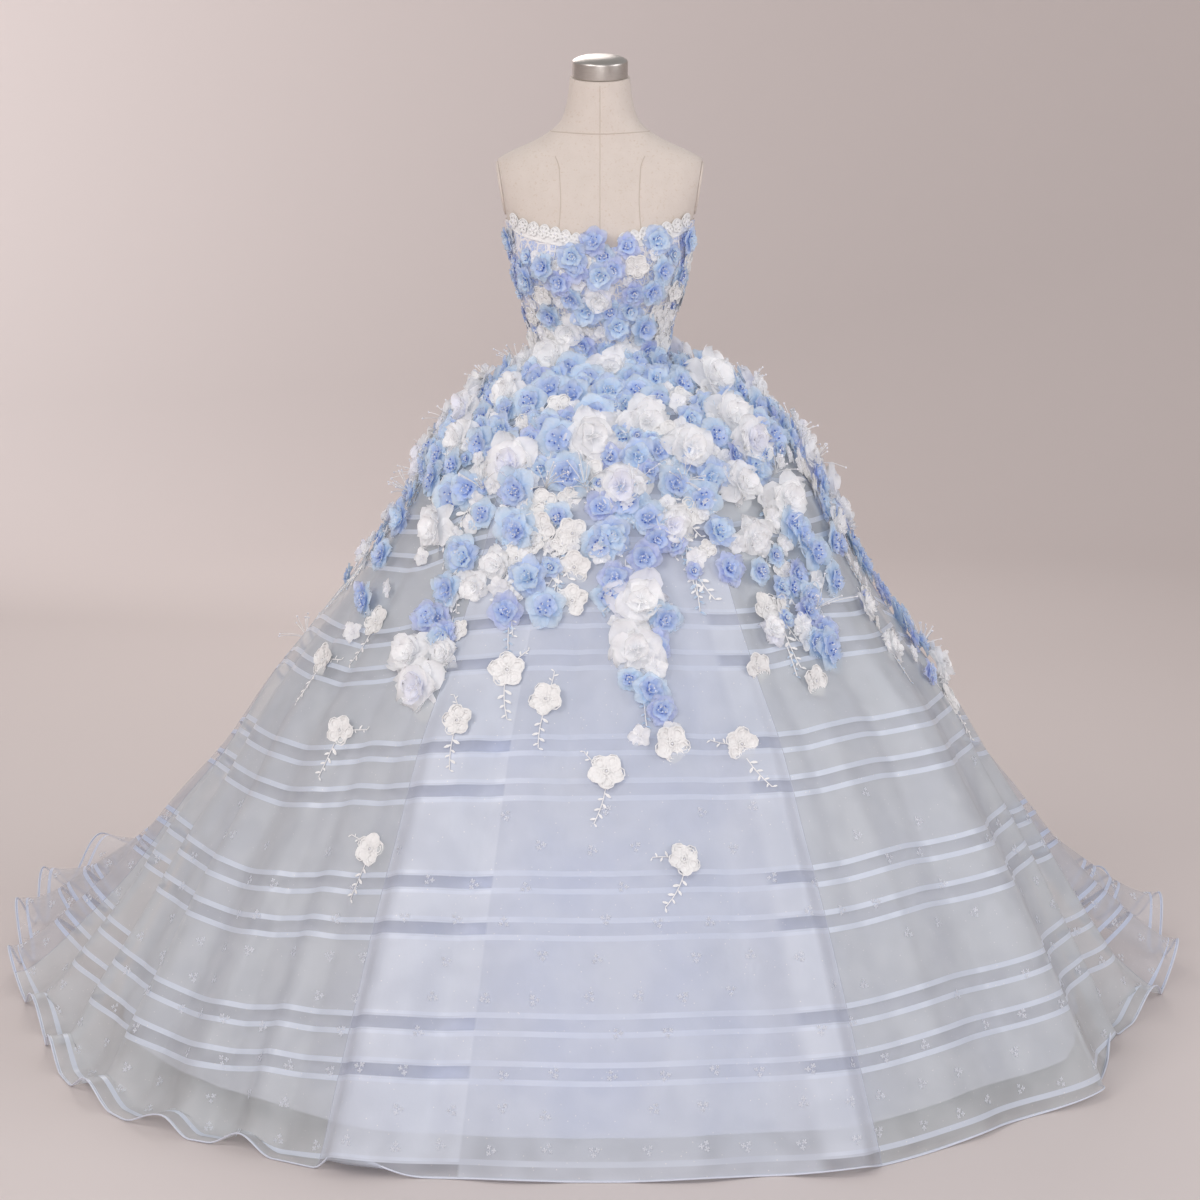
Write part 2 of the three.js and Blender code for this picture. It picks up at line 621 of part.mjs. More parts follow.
// A point on the flat faces between a grid's points, which lie a little inside the curve through them.
function onFaces(pointAt, angles, rows, around, row) {
  const i = angles.findIndex((_, n) => around <= angles[n + 1]);
  const rising = rows[0] < rows[1];
  const j = rows.findIndex((_, n) => (rising ? row <= rows[n + 1] : row >= rows[n + 1]));
  const across = (around - angles[i]) / (angles[i + 1] - angles[i]);
  const along = (row - rows[j]) / (rows[j + 1] - rows[j]);
  const [far, near] = along > across ? [along, across] : [across, along];
  const first = pointAt(angles[i], rows[j]);
  const corner = along > across ? pointAt(angles[i], rows[j + 1]) : pointAt(angles[i + 1], rows[j]);
  const last = pointAt(angles[i + 1], rows[j + 1]);
  return first.clone().lerp(corner, far).addScaledVector(last.sub(corner), near);
}

// Points of a blossom: its rim of notched petals, raised by `lift`, and its axis at a height.
function blossomPoints({ at, normal, bloom, turn, cup = BLOSSOM.cup }, lift, grow) {
  const across = new THREE.Vector3(0, 0, 1).cross(normal).normalize();
  const up = normal.clone().cross(across);
  const place = (angle, radius, height) =>
    at
      .clone()
      .addScaledVector(across, Math.cos(angle) * radius)
      .addScaledVector(up, Math.sin(angle) * radius)
      .addScaledVector(normal, height);
  const rim = Array.from({ length: PETALS * 2 }, (_, i) => {
    const [radius, height] = i % 2 ? [BLOSSOM.notchOut, BLOSSOM.notchUp] : [1, 1];
    return place(turn + (i * Math.PI) / PETALS, radius * bloom + grow, height * cup * bloom + lift);
  });
  return { rim, middle: place(0, 0, BLOSSOM.middleUp * cup * bloom + lift), stem: place(0, 0, lift) };
}

// One blossom: a shallow cup with five notched petals, which stands on the point where it is sewn on.
function blossomSolid(blossom) {
  const { rim, middle, stem } = blossomPoints(blossom, 0, 0);
  const count = rim.length;
  const faces = rim.flatMap((_, i) => {
    const next = (i + 1) % count;
    return [count + 1, next, i, count, i, next];
  });
  return solidOf(geometryOf([...rim, middle, stem], faces));
}

// The room that a blossom takes, a little larger all round than itself.
function blossomRoom(blossom) {
  const upper = blossomPoints(blossom, CLEAR, CLEAR);
  const lower = blossomPoints(blossom, -CLEAR, CLEAR);
  const count = upper.rim.length;
  const faces = upper.rim.flatMap((_, i) => {
    const next = (i + 1) % count;
    const sides = [count + i, count + next, i, count + next, next, i];
    return [2 * count + 1, count + next, count + i, 2 * count, i, next, ...sides];
  });
  return solidOf(geometryOf([...upper.rim, ...lower.rim, upper.middle, lower.stem], faces));
}

function blossomOnSkirt(around, run, bloom, index) {
  const down = run / bellLine(around).at(-1).length;
  const angles = [...allAngles(SKIRT_PANELS, skirtAngles), 180];
  const at = onFaces((a, d) => skirtOuterPoint(a, d, CLOTH + SEWN), angles, SKIRT_ROWS, around, down);
  return { at, normal: normalOf(skirtPoint, around, down), bloom, turn: index * GOLDEN };
}

function blossomOnBodice(around, z, bloom, index) {
  const angles = [...allAngles(BODICE_PANELS, bodiceAngles), 180];
  const at = onFaces((a, h) => bodiceAt(a, h, BODICE_CLOTH + SEWN), angles, BODICE_HEIGHTS.toReversed(), around, z);
  return { at, normal: polar(around, 1, 0), bloom, turn: index * GOLDEN, cup: BLOSSOM.flatCup };
}

// Everything inside the gown's outer face, one seam proud of it, which each blossom is cut back to.
function gownCore() {
  const round = allAngles(SKIRT_PANELS, skirtAngles);
  const skirt = SKIRT_ROWS.slice(0, CORE_ROWS)
    .map((down) => round.map((around) => skirtOuterPoint(around, down, CLOTH + SEAM)))
    .reverse();
  const columns = allAngles(BODICE_PANELS, bodiceAngles);
  const bodice = BODICE_LEVELS.map((row) =>
    columns.map((around) => bodicePoint(around, row, BODICE_CLOTH + SEAM)),
  );
  const foot = bodice[0].map((point) => point.clone().setZ(WAIST_Z - UNDER_WAIST));
  return solidOf(loftGeometry(skirt)).add(solidOf(loftGeometry([foot, ...bodice])));
}

// Joins blossoms into one piece that clears the cloth and the pieces already made.
function addBlossoms(name, blossoms, core, made) {
  const join = (solidFor) => blossoms.map(solidFor).reduce((sum, solid) => sum.add(solid));
  let solid = join(blossomSolid).subtract(core);
  for (const other of made) solid = solid.subtract(other);
  made.push(join(blossomRoom));
  add(name, geometryOfSolid(largestPiece(solid)), COLOURS.blueFlower);
}

function addFlowers() {
  const core = gownCore();
  const made = [];
  const onBodice = BODICE_ROWS.flatMap((row, r) =>
    Array.from({ length: row.count }, (_, i) => {
      const around = THREE.MathUtils.lerp(-row.reach, row.reach, i / (row.count - 1));
      const sway = Math.sin(2.4 * i + r);
      return blossomOnBodice(around, row.z + 5 * sway, row.bloom * (1 + 0.1 * sway), i + 3 * r);
    }),
  );
  addBlossoms("bodice_flowers", onBodice, core, made);
  const atWaist = WAIST_ROWS.flatMap((row, r) =>
    roundAngles(row.count, r / 2).map((angle, i) => {
      const around = angle > 180 ? angle - 360 : angle;
      return { around, blossom: blossomOnSkirt(around, row.down, row.bloom, i + 5 * r) };
    }),
  );
  for (const { name, middle } of WAIST_SECTORS) {
    const inSector = atWaist.filter(({ around }) => Math.abs(((around - middle + 540) % 360) - 180) <= 45);
    addBlossoms(name, inSector.map((w) => w.blossom), core, made);
  }
  for (const spray of SPRAYS) {
    const step = spray.bloom * SPRAY_STEP;
    const count = Math.floor((spray.ends - spray.starts) / step);
    const blossoms = Array.from({ length: count }, (_, i) => {
      const share = (i + 1) / count;
      const around = spray.around + spray.drift * share + Math.sin(2.1 * i);
      return blossomOnSkirt(around, spray.starts + (i + 1) * step, spray.bloom * (1 - SPRAY_TAPER * share), i);
    });
    addBlossoms(spray.name, blossoms, core, made);
  }
}

addForm();
addBodice();
addNecklineLace();
addSkirt();
addUnderskirt();
addFlowers();
const gown = new THREE.Group();
gown.add(...meshes);
export default gown;
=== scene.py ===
"""Ball gown with a train and sewn-on flowers, on a padded dress form: its cloth, flowers and finishes.

Sizes in the tables are millimetres, angles degrees: 0 is the front, 90 the wearer's left.
"""
import json
import math
from collections import namedtuple

import bmesh
import bpy
import numpy as np
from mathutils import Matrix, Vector

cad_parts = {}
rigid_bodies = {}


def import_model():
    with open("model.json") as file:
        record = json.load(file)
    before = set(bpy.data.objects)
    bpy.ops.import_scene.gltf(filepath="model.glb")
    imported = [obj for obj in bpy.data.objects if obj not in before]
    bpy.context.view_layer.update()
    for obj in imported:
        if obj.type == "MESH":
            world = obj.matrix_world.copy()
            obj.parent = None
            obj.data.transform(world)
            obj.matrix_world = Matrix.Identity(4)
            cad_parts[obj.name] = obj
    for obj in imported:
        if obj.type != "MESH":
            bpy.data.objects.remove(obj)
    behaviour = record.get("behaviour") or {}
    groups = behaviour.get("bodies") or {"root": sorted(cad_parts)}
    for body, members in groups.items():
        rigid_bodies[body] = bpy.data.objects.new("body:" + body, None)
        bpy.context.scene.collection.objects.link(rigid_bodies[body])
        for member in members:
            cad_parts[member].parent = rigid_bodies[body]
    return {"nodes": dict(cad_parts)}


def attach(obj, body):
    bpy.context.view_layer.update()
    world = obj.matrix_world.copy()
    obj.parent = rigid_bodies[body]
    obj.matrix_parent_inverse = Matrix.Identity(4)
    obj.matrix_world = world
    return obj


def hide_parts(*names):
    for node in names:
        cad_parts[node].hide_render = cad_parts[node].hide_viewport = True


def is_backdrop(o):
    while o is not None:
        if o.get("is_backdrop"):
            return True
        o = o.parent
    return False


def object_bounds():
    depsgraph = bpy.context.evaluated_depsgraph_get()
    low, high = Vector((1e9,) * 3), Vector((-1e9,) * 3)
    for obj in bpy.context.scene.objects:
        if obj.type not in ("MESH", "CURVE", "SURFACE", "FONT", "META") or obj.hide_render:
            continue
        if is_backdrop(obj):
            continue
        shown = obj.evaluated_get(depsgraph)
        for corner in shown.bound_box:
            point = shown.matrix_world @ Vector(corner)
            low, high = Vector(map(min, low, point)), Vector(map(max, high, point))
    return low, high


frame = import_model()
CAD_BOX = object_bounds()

bl_info = {
    "name": "Ball gown on a dress form",
    "version": (1, 0, 0),
    "blender": (4, 5, 0),
    "location": "View3D > Sidebar > Gown",
    "description": "Builds a striped organza ball gown with hand-cut flowers, on its dress form",
    "category": "Object",
}

MM = 0.001

# Driving sizes, the same as the solids'.
WAIST_Z = 1130
CLOTH = 1.5
BODICE_CLOTH = 2
EASE = 0.8
SEAM = 0.3
UNDERSKIRT_IN = 16
UNDERSKIRT_HEM_Z = 60
NECK_TILT = math.tan(math.radians(12))
NECK_FROM_Z = 1536
NECK_TOP_Z = 1612
ARM_X = 163
ARM_Z = 1430
ARM_TILT = math.radians(9)
ARM_HALF_HEIGHT = 45
ARM_HALF_WIDTH = 36

Section = namedtuple("Section", "z half front back square")
FORM_SECTIONS = [
    Section(850, 150, 104, 112, 2.2),
    Section(900, 160, 108, 122, 2.2),
    Section(960, 160, 106, 122, 2.2),
    Section(1030, 144, 98, 106, 2.15),
    Section(1090, 117, 88, 82, 2.1),
    Section(1130, 106, 82, 72, 2.1),
    Section(1170, 109, 86, 74, 2.1),
    Section(1225, 124, 102, 86, 2.2),
    Section(1275, 138, 120, 96, 2.3),
    Section(1310, 145, 124, 100, 2.35),
    Section(1345, 150, 117, 102, 2.4),
    Section(1385, 159, 102, 103, 2.5),
    Section(1425, 170, 86, 101, 2.6),
    Section(1455, 176, 72, 93, 2.5),
    Section(1476, 172, 62, 83, 2.3),
    Section(1492, 146, 56, 74, 2.2),
    Section(1508, 110, 52, 66, 2.1),
    Section(1524, 83, 52, 60, 2),
    Section(1540, 66, 52, 56, 2),
    Section(1560, 58, 52, 52, 2),
    Section(1585, 53, 50, 50, 2),
    Section(1612, 50, 50, 50, 2),
]

# The bodice's upper edge, by angle to either side.
Edge = namedtuple("Edge", "around z")
NECKLINE = [
    Edge(0, 1338),
    Edge(14, 1342),
    Edge(32, 1352),
    Edge(58, 1366),
    Edge(78, 1384),
    Edge(92, 1380),
    Edge(115, 1340),
    Edge(150, 1302),
    Edge(180, 1296),
]
NECKLINE_IN = 7  # how far the panels end below that edge

# Where the cloth meets the floor and where its hem ends, as reach from the pole.
Floor = namedtuple("Floor", "around meets hem")
FLOOR_LINE = [
    Floor(-180, 900, 1690),
    Floor(-162, 905, 1700),
    Floor(-142, 905, 1590),
    Floor(-126, 900, 1370),
    Floor(-112, 890, 1190),
    Floor(-96, 880, 1050),
    Floor(-80, 870, 960),
    Floor(-64, 870, 945),
    Floor(-50, 860, 925),
    Floor(-38, 850, 880),
    Floor(-27, 862, 872),
    Floor(-12, 826, 828),
    Floor(0, 818, 820),
    Floor(14, 824, 826),
    Floor(28, 860, 862),
    Floor(45, 850, 852),
    Floor(61, 896, 898),
    Floor(76, 870, 885),
    Floor(92, 870, 990),
    Floor(108, 880, 1120),
    Floor(122, 890, 1230),
    Floor(135, 900, 1300),
    Floor(150, 905, 1440),
    Floor(165, 905, 1590),
    Floor(180, 900, 1690),
]

# The bell: share of the way out from the waist to the floor, at each height, how much less that is on the wearer's
# right, where it falls steeper, and the share of the cloth on the floor by which the train sweeps out beyond that.
Bell = namedtuple("Bell", "z out right sweep")
BELL = [
    Bell(1130, 0, 0, 0),
    Bell(1122, 0.06, 0.02, 0),
    Bell(1105, 0.135, 0.06, 0),
    Bell(1060, 0.222, 0.085, 0),
    Bell(1005, 0.29, 0.085, 0),
    Bell(935, 0.345, 0.08, 0),
    Bell(850, 0.398, 0.065, 0),
    Bell(760, 0.465, 0.04, 0),
    Bell(670, 0.545, 0.03, 0),
    Bell(581, 0.63, 0.03, 0),
    Bell(443, 0.725, 0.025, 0.03),
    Bell(341, 0.795, 0.015, 0.12),
    Bell(203, 0.88, 0.01, 0.27),
    Bell(100, 0.942, 0, 0.5),
]

# Pleats and standing folds: rise at the hem, width to either side, and the share of the length where each starts.
Fold = namedtuple("Fold", "around rise before after starts")
FOLDS = [
    Fold(-26, 34, 3, 9, 0.28),
    Fold(-38, 26, 4, 4, 0.55),
    Fold(-47, 30, 6, 3, 0.3),
    Fold(-60, 34, 5, 5, 0.3),
    Fold(-73, 40, 5, 5, 0.3),
    Fold(-86, 46, 6, 5, 0.32),
    Fold(-99, 66, 5, 6, 0.3),
    Fold(-111, 84, 5, 5, 0.3),
    Fold(-122, 70, 5, 5, 0.32),
    Fold(-134, 52, 5, 6, 0.3),
    Fold(-147, 44, 6, 6, 0.3),
    Fold(-161, 40, 6, 7, 0.3),
    Fold(-173, 34, 5, 5, 0.3),
    Fold(-9, 10, 7, 7, 0.4),
    Fold(10, 12, 8, 8, 0.4),
    Fold(26, 30, 8, 3, 0.28),
    Fold(43, 12, 6, 7, 0.4),
    Fold(60, 30, 9, 4, 0.26),
    Fold(76, 34, 5, 5, 0.3),
    Fold(89, 44, 5, 6, 0.3),
    Fold(102, 62, 6, 5, 0.3),
    Fold(114, 80, 5, 5, 0.3),
    Fold(126, 60, 5, 6, 0.3),
    Fold(139, 44, 6, 5, 0.3),
    Fold(153, 46, 6, 6, 0.3),
    Fold(167, 38, 6, 6, 0.3),
]

# Soft creases between the folds, each with its own place, depth (a trough is negative), width and reach.
Crease = namedtuple("Crease", "around leans depth width starts ends")
CREASES = [
    Crease(-4, -3, -4, 2.2, 0.30, 0.78),
    Crease(4, 2, 3, 2.6, 0.42, 0.95),
    Crease(16, 3, -5, 2.4, 0.34, 0.90),
    Crease(-15, -4, -5, 2.0, 0.36, 0.96),
    Crease(-20, -3, 4, 1.8, 0.45, 1.00),
    Crease(33, 3, -6, 2.4, 0.30, 0.92),
    Crease(39, 2, 4, 2.0, 0.50, 1.00),
    Crease(49, 3, -6, 2.2, 0.32, 0.96),
    Crease(55, 4, 5, 2.0, 0.40, 0.86),
    Crease(68, 2, -7, 2.4, 0.30, 1.00),
    Crease(-33, -2, -6, 2.0, 0.30, 0.98),
    Crease(-42, 2, -5, 1.6, 0.40, 1.00),
    Crease(-53, -3, -7, 2.2, 0.28, 0.95),
    Crease(-66, 2, -6, 2.0, 0.30, 1.00),
    Crease(-80, -2, -7, 2.2, 0.30, 0.90),
    Crease(-92, 2, 6, 1.8, 0.36, 1.00),
    Crease(-105, 3, -8, 2.0, 0.30, 1.00),
    Crease(-117, -2, -8, 2.0, 0.34, 1.00),
    Crease(-128, 2, 6, 1.8, 0.30, 0.80),
    Crease(-140, -3, -7, 2.2, 0.32, 1.00),
    Crease(-154, 2, -8, 2.4, 0.28, 0.90),
    Crease(-167, -2, 6, 2.0, 0.30, 1.00),
    Crease(82, -2, -7, 2.0, 0.30, 1.00),
    Crease(95, 2, -7, 2.0, 0.34, 0.90),
    Crease(108, -3, -8, 2.0, 0.30, 1.00),
    Crease(120, 2, 6, 1.8, 0.30, 1.00),
    Crease(132, -2, -8, 2.2, 0.30, 0.92),
    Crease(146, 3, -7, 2.2, 0.28, 1.00),
    Crease(160, -2, 6, 2.0, 0.32, 1.00),
    Crease(174, 2, -7, 2.2, 0.30, 0.85),
]

Panel = namedtuple("Panel", "name starts ends")
SKIRT_PANELS = [
    Panel("skirt_front", -29, 29),
    Panel("skirt_side_left", 29, 96),
    Panel("skirt_side_right", -96, -29),
    Panel("train_left", 96, 180),
    Panel("train_right", -180, -96),
]
BODICE_PANELS = [
    Panel("bodice_front", -24, 24),
    Panel("bodice_side_front_left", 24, 78),
    Panel("bodice_side_front_right", -78, -24),
    Panel("bodice_side_back_left", 78, 134),
    Panel("bodice_side_back_right", -134, -78),
    Panel("bodice_back_left", 134, 180),
    Panel("bodice_back_right", -180, -134),
]

# Hanging sprays of blossom: angle, start and end down the skirt, drift round on the way.
Spray = namedtuple("Spray", "name around starts ends drift")
SPRAYS = [
    Spray("spray_front_centre", 5, 250, 660, 3),
    Spray("spray_front_right_1", -8, 250, 460, -2),
    Spray("spray_front_right_2", -19, 250, 540, 0),
    Spray("spray_side_right_1", -38, 250, 620, 8),
    Spray("spray_side_right_2", -78, 250, 500, -6),
    Spray("spray_side_right_3", -116, 250, 450, -3),
    Spray("spray_front_left_1", 19, 250, 460, 3),
    Spray("spray_front_left_2", 50, 250, 600, -12),
    Spray("spray_side_left_1", 80, 250, 660, -16),
    Spray("spray_side_left_2", 109, 250, 450, 4),
    Spray("spray_back_left", 142, 250, 540, 3),
    Spray("spray_back_centre", 176, 250, 460, 2),
    Spray("spray_back_right", -148, 250, 540, -3),
]
WAIST_SECTORS = [
    ("waist_flowers_front", 0),
    ("waist_flowers_left", 90),
    ("waist_flowers_back", 180),
    ("waist_flowers_right", -90),
]
WAIST_DEPTH = 262  # how far down the skirt the flowers of the waist lie close together

# The camera: it stands in front of the gown and looks a little down. Its picture is 1200 pixels wide and high.
CAMERA_BACK = 4500
CAMERA_Z = 1450
CAMERA_PITCH = math.radians(9.1)
PICTURE = 1200
PICTURE_REACH = 2650  # focal length in pixels
SENSOR = 36

# Where the blossoms that face the camera are in its picture, in pixels across and down, by their kind.
SKIRT_BLOOMS = {
    "rose": [
        (565, 368), (629, 361), (514, 399), (465, 442), (514, 465), (593, 442), (644, 422), (687, 450),
        (619, 486), (708, 386), (728, 422), (746, 445), (738, 483), (782, 501), (865, 500), (440, 530),
        (415, 655), (639, 605), (636, 650), (950, 655), (425, 690), (480, 410), (800, 455), (835, 480),
    ],
    "blue": [
        (573, 396), (608, 394), (654, 386), (504, 432), (550, 432), (636, 460), (675, 483), (708, 478),
        (754, 473), (568, 475), (519, 534), (649, 519), (613, 539), (718, 534), (466, 557), (529, 580),
        (665, 620), (650, 690), (430, 470), (405, 520), (385, 556), (450, 590), (445, 640), (880, 555),
        (905, 610), (925, 640), (800, 540), (808, 600), (812, 645), (470, 490), (820, 505), (700, 410),
    ],
    "periwinkle": [
        (517, 491), (644, 560), (657, 542), (728, 570), (616, 580), (660, 710), (365, 600), (440, 620),
        (505, 612), (432, 618), (447, 635), (797, 454), (811, 472), (834, 491), (885, 583), (805, 611),
        (822, 632), (910, 640), (927, 674), (770, 425), (845, 515), (600, 510), (655, 645), (540, 385),
        (892, 585), (795, 575),
    ],
    "lace": [
        (542, 503), (539, 531), (517, 557), (573, 534), (575, 567), (573, 600), (519, 585), (540, 520),
        (378, 620), (342, 730), (372, 850), (458, 722), (508, 670), (545, 700), (765, 610), (757, 668),
        (742, 745), (887, 752), (605, 770), (685, 862), (670, 745), (815, 680), (948, 700), (325, 660),
        (445, 500), (690, 515), (770, 520), (860, 540), (560, 410), (590, 475), (668, 440), (525, 430),
    ],
    "sky": [
        (436, 482), (455, 499), (462, 555), (518, 492), (516, 528), (547, 610), (369, 601), (839, 510),
        (790, 525), (813, 554), (830, 542), (855, 542), (872, 552), (832, 583), (826, 650), (906, 606),
        (912, 616), (568, 480), (600, 545), (700, 500), (560, 445), (626, 505), (690, 462), (508, 455),
    ],
    "small": [
        (480, 477), (480, 501), (474, 526), (769, 519), (782, 542), (763, 529), (891, 573), (882, 600),
        (803, 642), (805, 594), (708, 506), (779, 549), (815, 580), (695, 560), (630, 600), (655, 670),
        (670, 730), (500, 590),
        (425, 560), (455, 600), (390, 590), (910, 655), (930, 672), (735, 545), (600, 555), (545, 455),
        (675, 408), (618, 420), (490, 470), (760, 500), (800, 625), (640, 735), (355, 635), (872, 535),
    ],
}
BODICE_BLOOMS = {
    "white": [(598, 298), (570, 330), (627, 356), (563, 366)],
    "lace": [(635, 266), (544, 294), (685, 262), (672, 290), (664, 318), (658, 342), (688, 303), (536, 338)],
    "small": [(538, 257), (579, 284), (653, 255), (550, 342), (601, 331), (561, 300), (640, 296), (660, 330)],
    "blue": [
        (546, 267), (572, 257), (656, 241), (661, 270), (572, 299), (587, 312), (617, 326), (641, 327),
        (552, 315), (600, 275), (650, 290), (513, 230), (684, 230), (530, 281), (652, 361),
    ],
    "periwinkle": [
        (593, 244), (575, 268), (627, 247), (613, 269), (633, 293), (584, 345), (645, 350), (560, 283)
    ],
}
STAMEN_SPOTS = [(310, 640), (935, 635), (490, 385), (520, 370), (750, 390), (815, 610), (455, 425), (790, 440)]



def curve_through(places, values):
    """A smooth curve through a short table, which doesn't overshoot its rows, as a function of an array."""
    places, values = np.asarray(places, float), np.asarray(values, float)
    steps = np.diff(places)
    slopes = np.diff(values) / steps
    before, after = slopes[:-1], slopes[1:]
    total = before + after
    same_way = before * after > 0
    inner = np.where(same_way, 2 * before * after / np.where(same_way, total, 1), 0)
    tangents = np.concatenate([slopes[:1], inner, slopes[-1:]])

    def at(place):
        place = np.clip(place, places[0], places[-1])
        i = np.clip(np.searchsorted(places, place) - 1, 0, len(steps) - 1)
        t = (place - places[i]) / steps[i]
        ends = (1 + 2 * t) * (1 - t) ** 2 * values[i] + t * t * (3 - 2 * t) * values[i + 1]
        leans = t * (1 - t) ** 2 * tangents[i] + t * t * (t - 1) * tangents[i + 1]
        return ends + leans * steps[i]

    return at


def smooth(x, low, high):
    t = np.clip((x - low) / (high - low), 0, 1)
    return t * t * (3 - 2 * t)


def polar(around, reach, z):
    """Points at a reach from the axis: 0 degrees is the front, 90 the wearer's left."""
    angle = np.radians(around)
    reach = np.asarray(reach, float)
    return np.stack([np.sin(angle) * reach, -np.cos(angle) * reach, np.broadcast_to(z, reach.shape)], axis=-1)


def unit(vectors):
    return vectors / np.maximum(np.linalg.norm(vectors, axis=-1, keepdims=True), 1e-9)


FORM_HEIGHTS = [section.z for section in FORM_SECTIONS]
FORM_CURVES = {
    name: curve_through(FORM_HEIGHTS, [getattr(section, name) for section in FORM_SECTIONS])
    for name in ("half", "front", "back", "square")
}
NECKLINE_CURVE = curve_through([edge.around for edge in NECKLINE], [edge.z for edge in NECKLINE])


def form_reach(around, z):
    """Distance from the form's axis to its side."""
    half, front, back, square = (FORM_CURVES[name](z) for name in ("half", "front", "back", "square"))
    sine = np.abs(np.sin(np.radians(around)))
    cosine = np.cos(np.radians(around))
    depth = np.where(cosine > 0, front, back)
    return ((sine / half) ** square + (np.abs(cosine) / depth) ** square) ** (-1 / square)


def bodice_point(around, z, out=0.0):
    """A point over the form and its ease."""
    return polar(around, form_reach(around, z) + EASE + out, z)


def neckline_z(around):
    return NECKLINE_CURVE(np.abs(around))


def facing_out(around, z):
    """The way that the bodice's cloth faces."""
    turn, rise = 0.5, 1.0
    across = bodice_point(around + turn, z) - bodice_point(around - turn, z)
    along = bodice_point(around, z + rise) - bodice_point(around, z - rise)
    return unit(np.cross(across, along))


SKIRT_TURN = 0.5  # degrees between the columns of the skirt's grid
SKIRT_COLUMNS = np.arange(-180, 180 + SKIRT_TURN / 2, SKIRT_TURN)
SKIRT_LEVELS = 201  # points down each column of that grid


def bell_grid(train=True):
    """Points of the bell by column and level, with or without the train's sweep, and each column's length."""
    meets_at = curve_through([row.around for row in FLOOR_LINE], [row.meets for row in FLOOR_LINE])
    hem_at = curve_through([row.around for row in FLOOR_LINE], [row.hem for row in FLOOR_LINE])
    heights = np.array([row.z for row in BELL], float)
    shares = np.array([row.out for row in BELL])
    sweeps = np.array([row.sweep for row in BELL])
    less = np.array([row.right for row in BELL])
    points, lengths = [], []
    for around in SKIRT_COLUMNS:
        meets, hem = meets_at(around), hem_at(around)
        waist = form_reach(around, WAIST_Z) + EASE + BODICE_CLOTH
        lies = max(hem - meets, 1)
        turned = smooth(lies, 20, 160)
        swept = lies * turned if train else 0.0
        comes_down = 0.18 + 0.68 * turned if train else 0.18
        ends = [meets * (1 - 0.008 * turned) + 0.68 * swept, meets + comes_down * lies, meets + lies]
        to_right = max(0.0, -math.sin(math.radians(around))) ** 2
        reach = np.append(waist + (meets - waist) * (shares - less * to_right) + swept * sweeps, ends)
        z = np.append(heights, [34 * turned + 2 * (1 - turned), 8 * turned, 0])
        length = np.append(0, np.cumsum(np.hypot(np.diff(reach), np.diff(z))))
        at = np.linspace(0, length[-1], SKIRT_LEVELS)
        points.append(polar(around, curve_through(length, reach)(at), curve_through(length, z)(at)))
        lengths.append(length[-1])
    return np.array(points), np.array(lengths)


def grid_normals(points):
    """The way each point of a grid of columns and levels faces, outward."""
    across = np.gradient(points, axis=0)
    along = np.gradient(points, axis=1)
    return unit(np.cross(along, across))


def turned_from(columns, around):
    """Degrees from an angle to each column, the short way round."""
    return (columns - around + 540) % 360 - 180


def fold_rise(columns, levels):
    """How far the folds lift the cloth off the bell, at each column and level."""
    rise = np.zeros(np.broadcast(columns, levels).shape)
    for fold in FOLDS:
        off = turned_from(columns, fold.around)
        lift = np.maximum(0, 1 - np.abs(off) / np.where(off < 0, fold.before, fold.after))
        rise += fold.rise * lift * lift * (3 - 2 * lift) * smooth(levels, fold.starts, 1.05)
    return rise


def crease_rise(columns, levels):
    """The soft creases, and a slight unevenness that no hung cloth is without."""
    rise = np.zeros(np.broadcast(columns, levels).shape)
    for crease in CREASES:
        share = (levels - crease.starts) / (crease.ends - crease.starts)
        off = turned_from(columns, crease.around + crease.leans * share) / crease.width
        reach = smooth(share, -0.15, 0.3) * (1 - smooth(share, 0.75, 1.12))
        rise += crease.depth * np.exp(-off * off) * reach
    angle = np.radians(columns)
    ripple = np.sin(23 * angle + 5 * levels) + 0.7 * np.sin(41 * angle - 9 * levels + 1.3)
    ripple += 0.5 * np.sin(67 * angle + 14 * levels + 0.4)
    return rise + 1.1 * ripple * smooth(levels, 0.3, 1.0)


BELL_POINTS, SKIRT_LENGTHS = bell_grid()
BELL_NORMALS = grid_normals(BELL_POINTS)
LEVELS = np.linspace(0, 1, SKIRT_LEVELS)


def skirt_grid():
    """Points of the skirt's outer face, with its folds and creases."""
    columns, levels = SKIRT_COLUMNS[:, None], LEVELS[None, :]
    rise = fold_rise(columns, levels) + CLOTH
    still = 1 - smooth(levels, 0.9, 1.0) * 0.6
    rise = rise + crease_rise(columns, levels) * still
    points = BELL_POINTS + BELL_NORMALS * rise[..., None]
    points[..., 2] = np.maximum(points[..., 2], 0.6)
    return points


SKIRT_POINTS = skirt_grid()
SKIRT_NORMALS = grid_normals(SKIRT_POINTS)


def skirt_at(around, run):
    """The point and the facing of the skirt, at an angle and a distance down from the waist."""
    column = (around + 180) % 360 / SKIRT_TURN
    i = int(column)
    level = min(run / SKIRT_LENGTHS[i], 0.999) * (SKIRT_LEVELS - 1)
    j = int(level)
    across, along = column - i, level - j

    def between(grid):
        near = grid[i, j] * (1 - along) + grid[i, j + 1] * along
        far = grid[i + 1, j] * (1 - along) + grid[i + 1, j + 1] * along
        return near * (1 - across) + far * across

    return between(SKIRT_POINTS), unit(between(SKIRT_NORMALS))


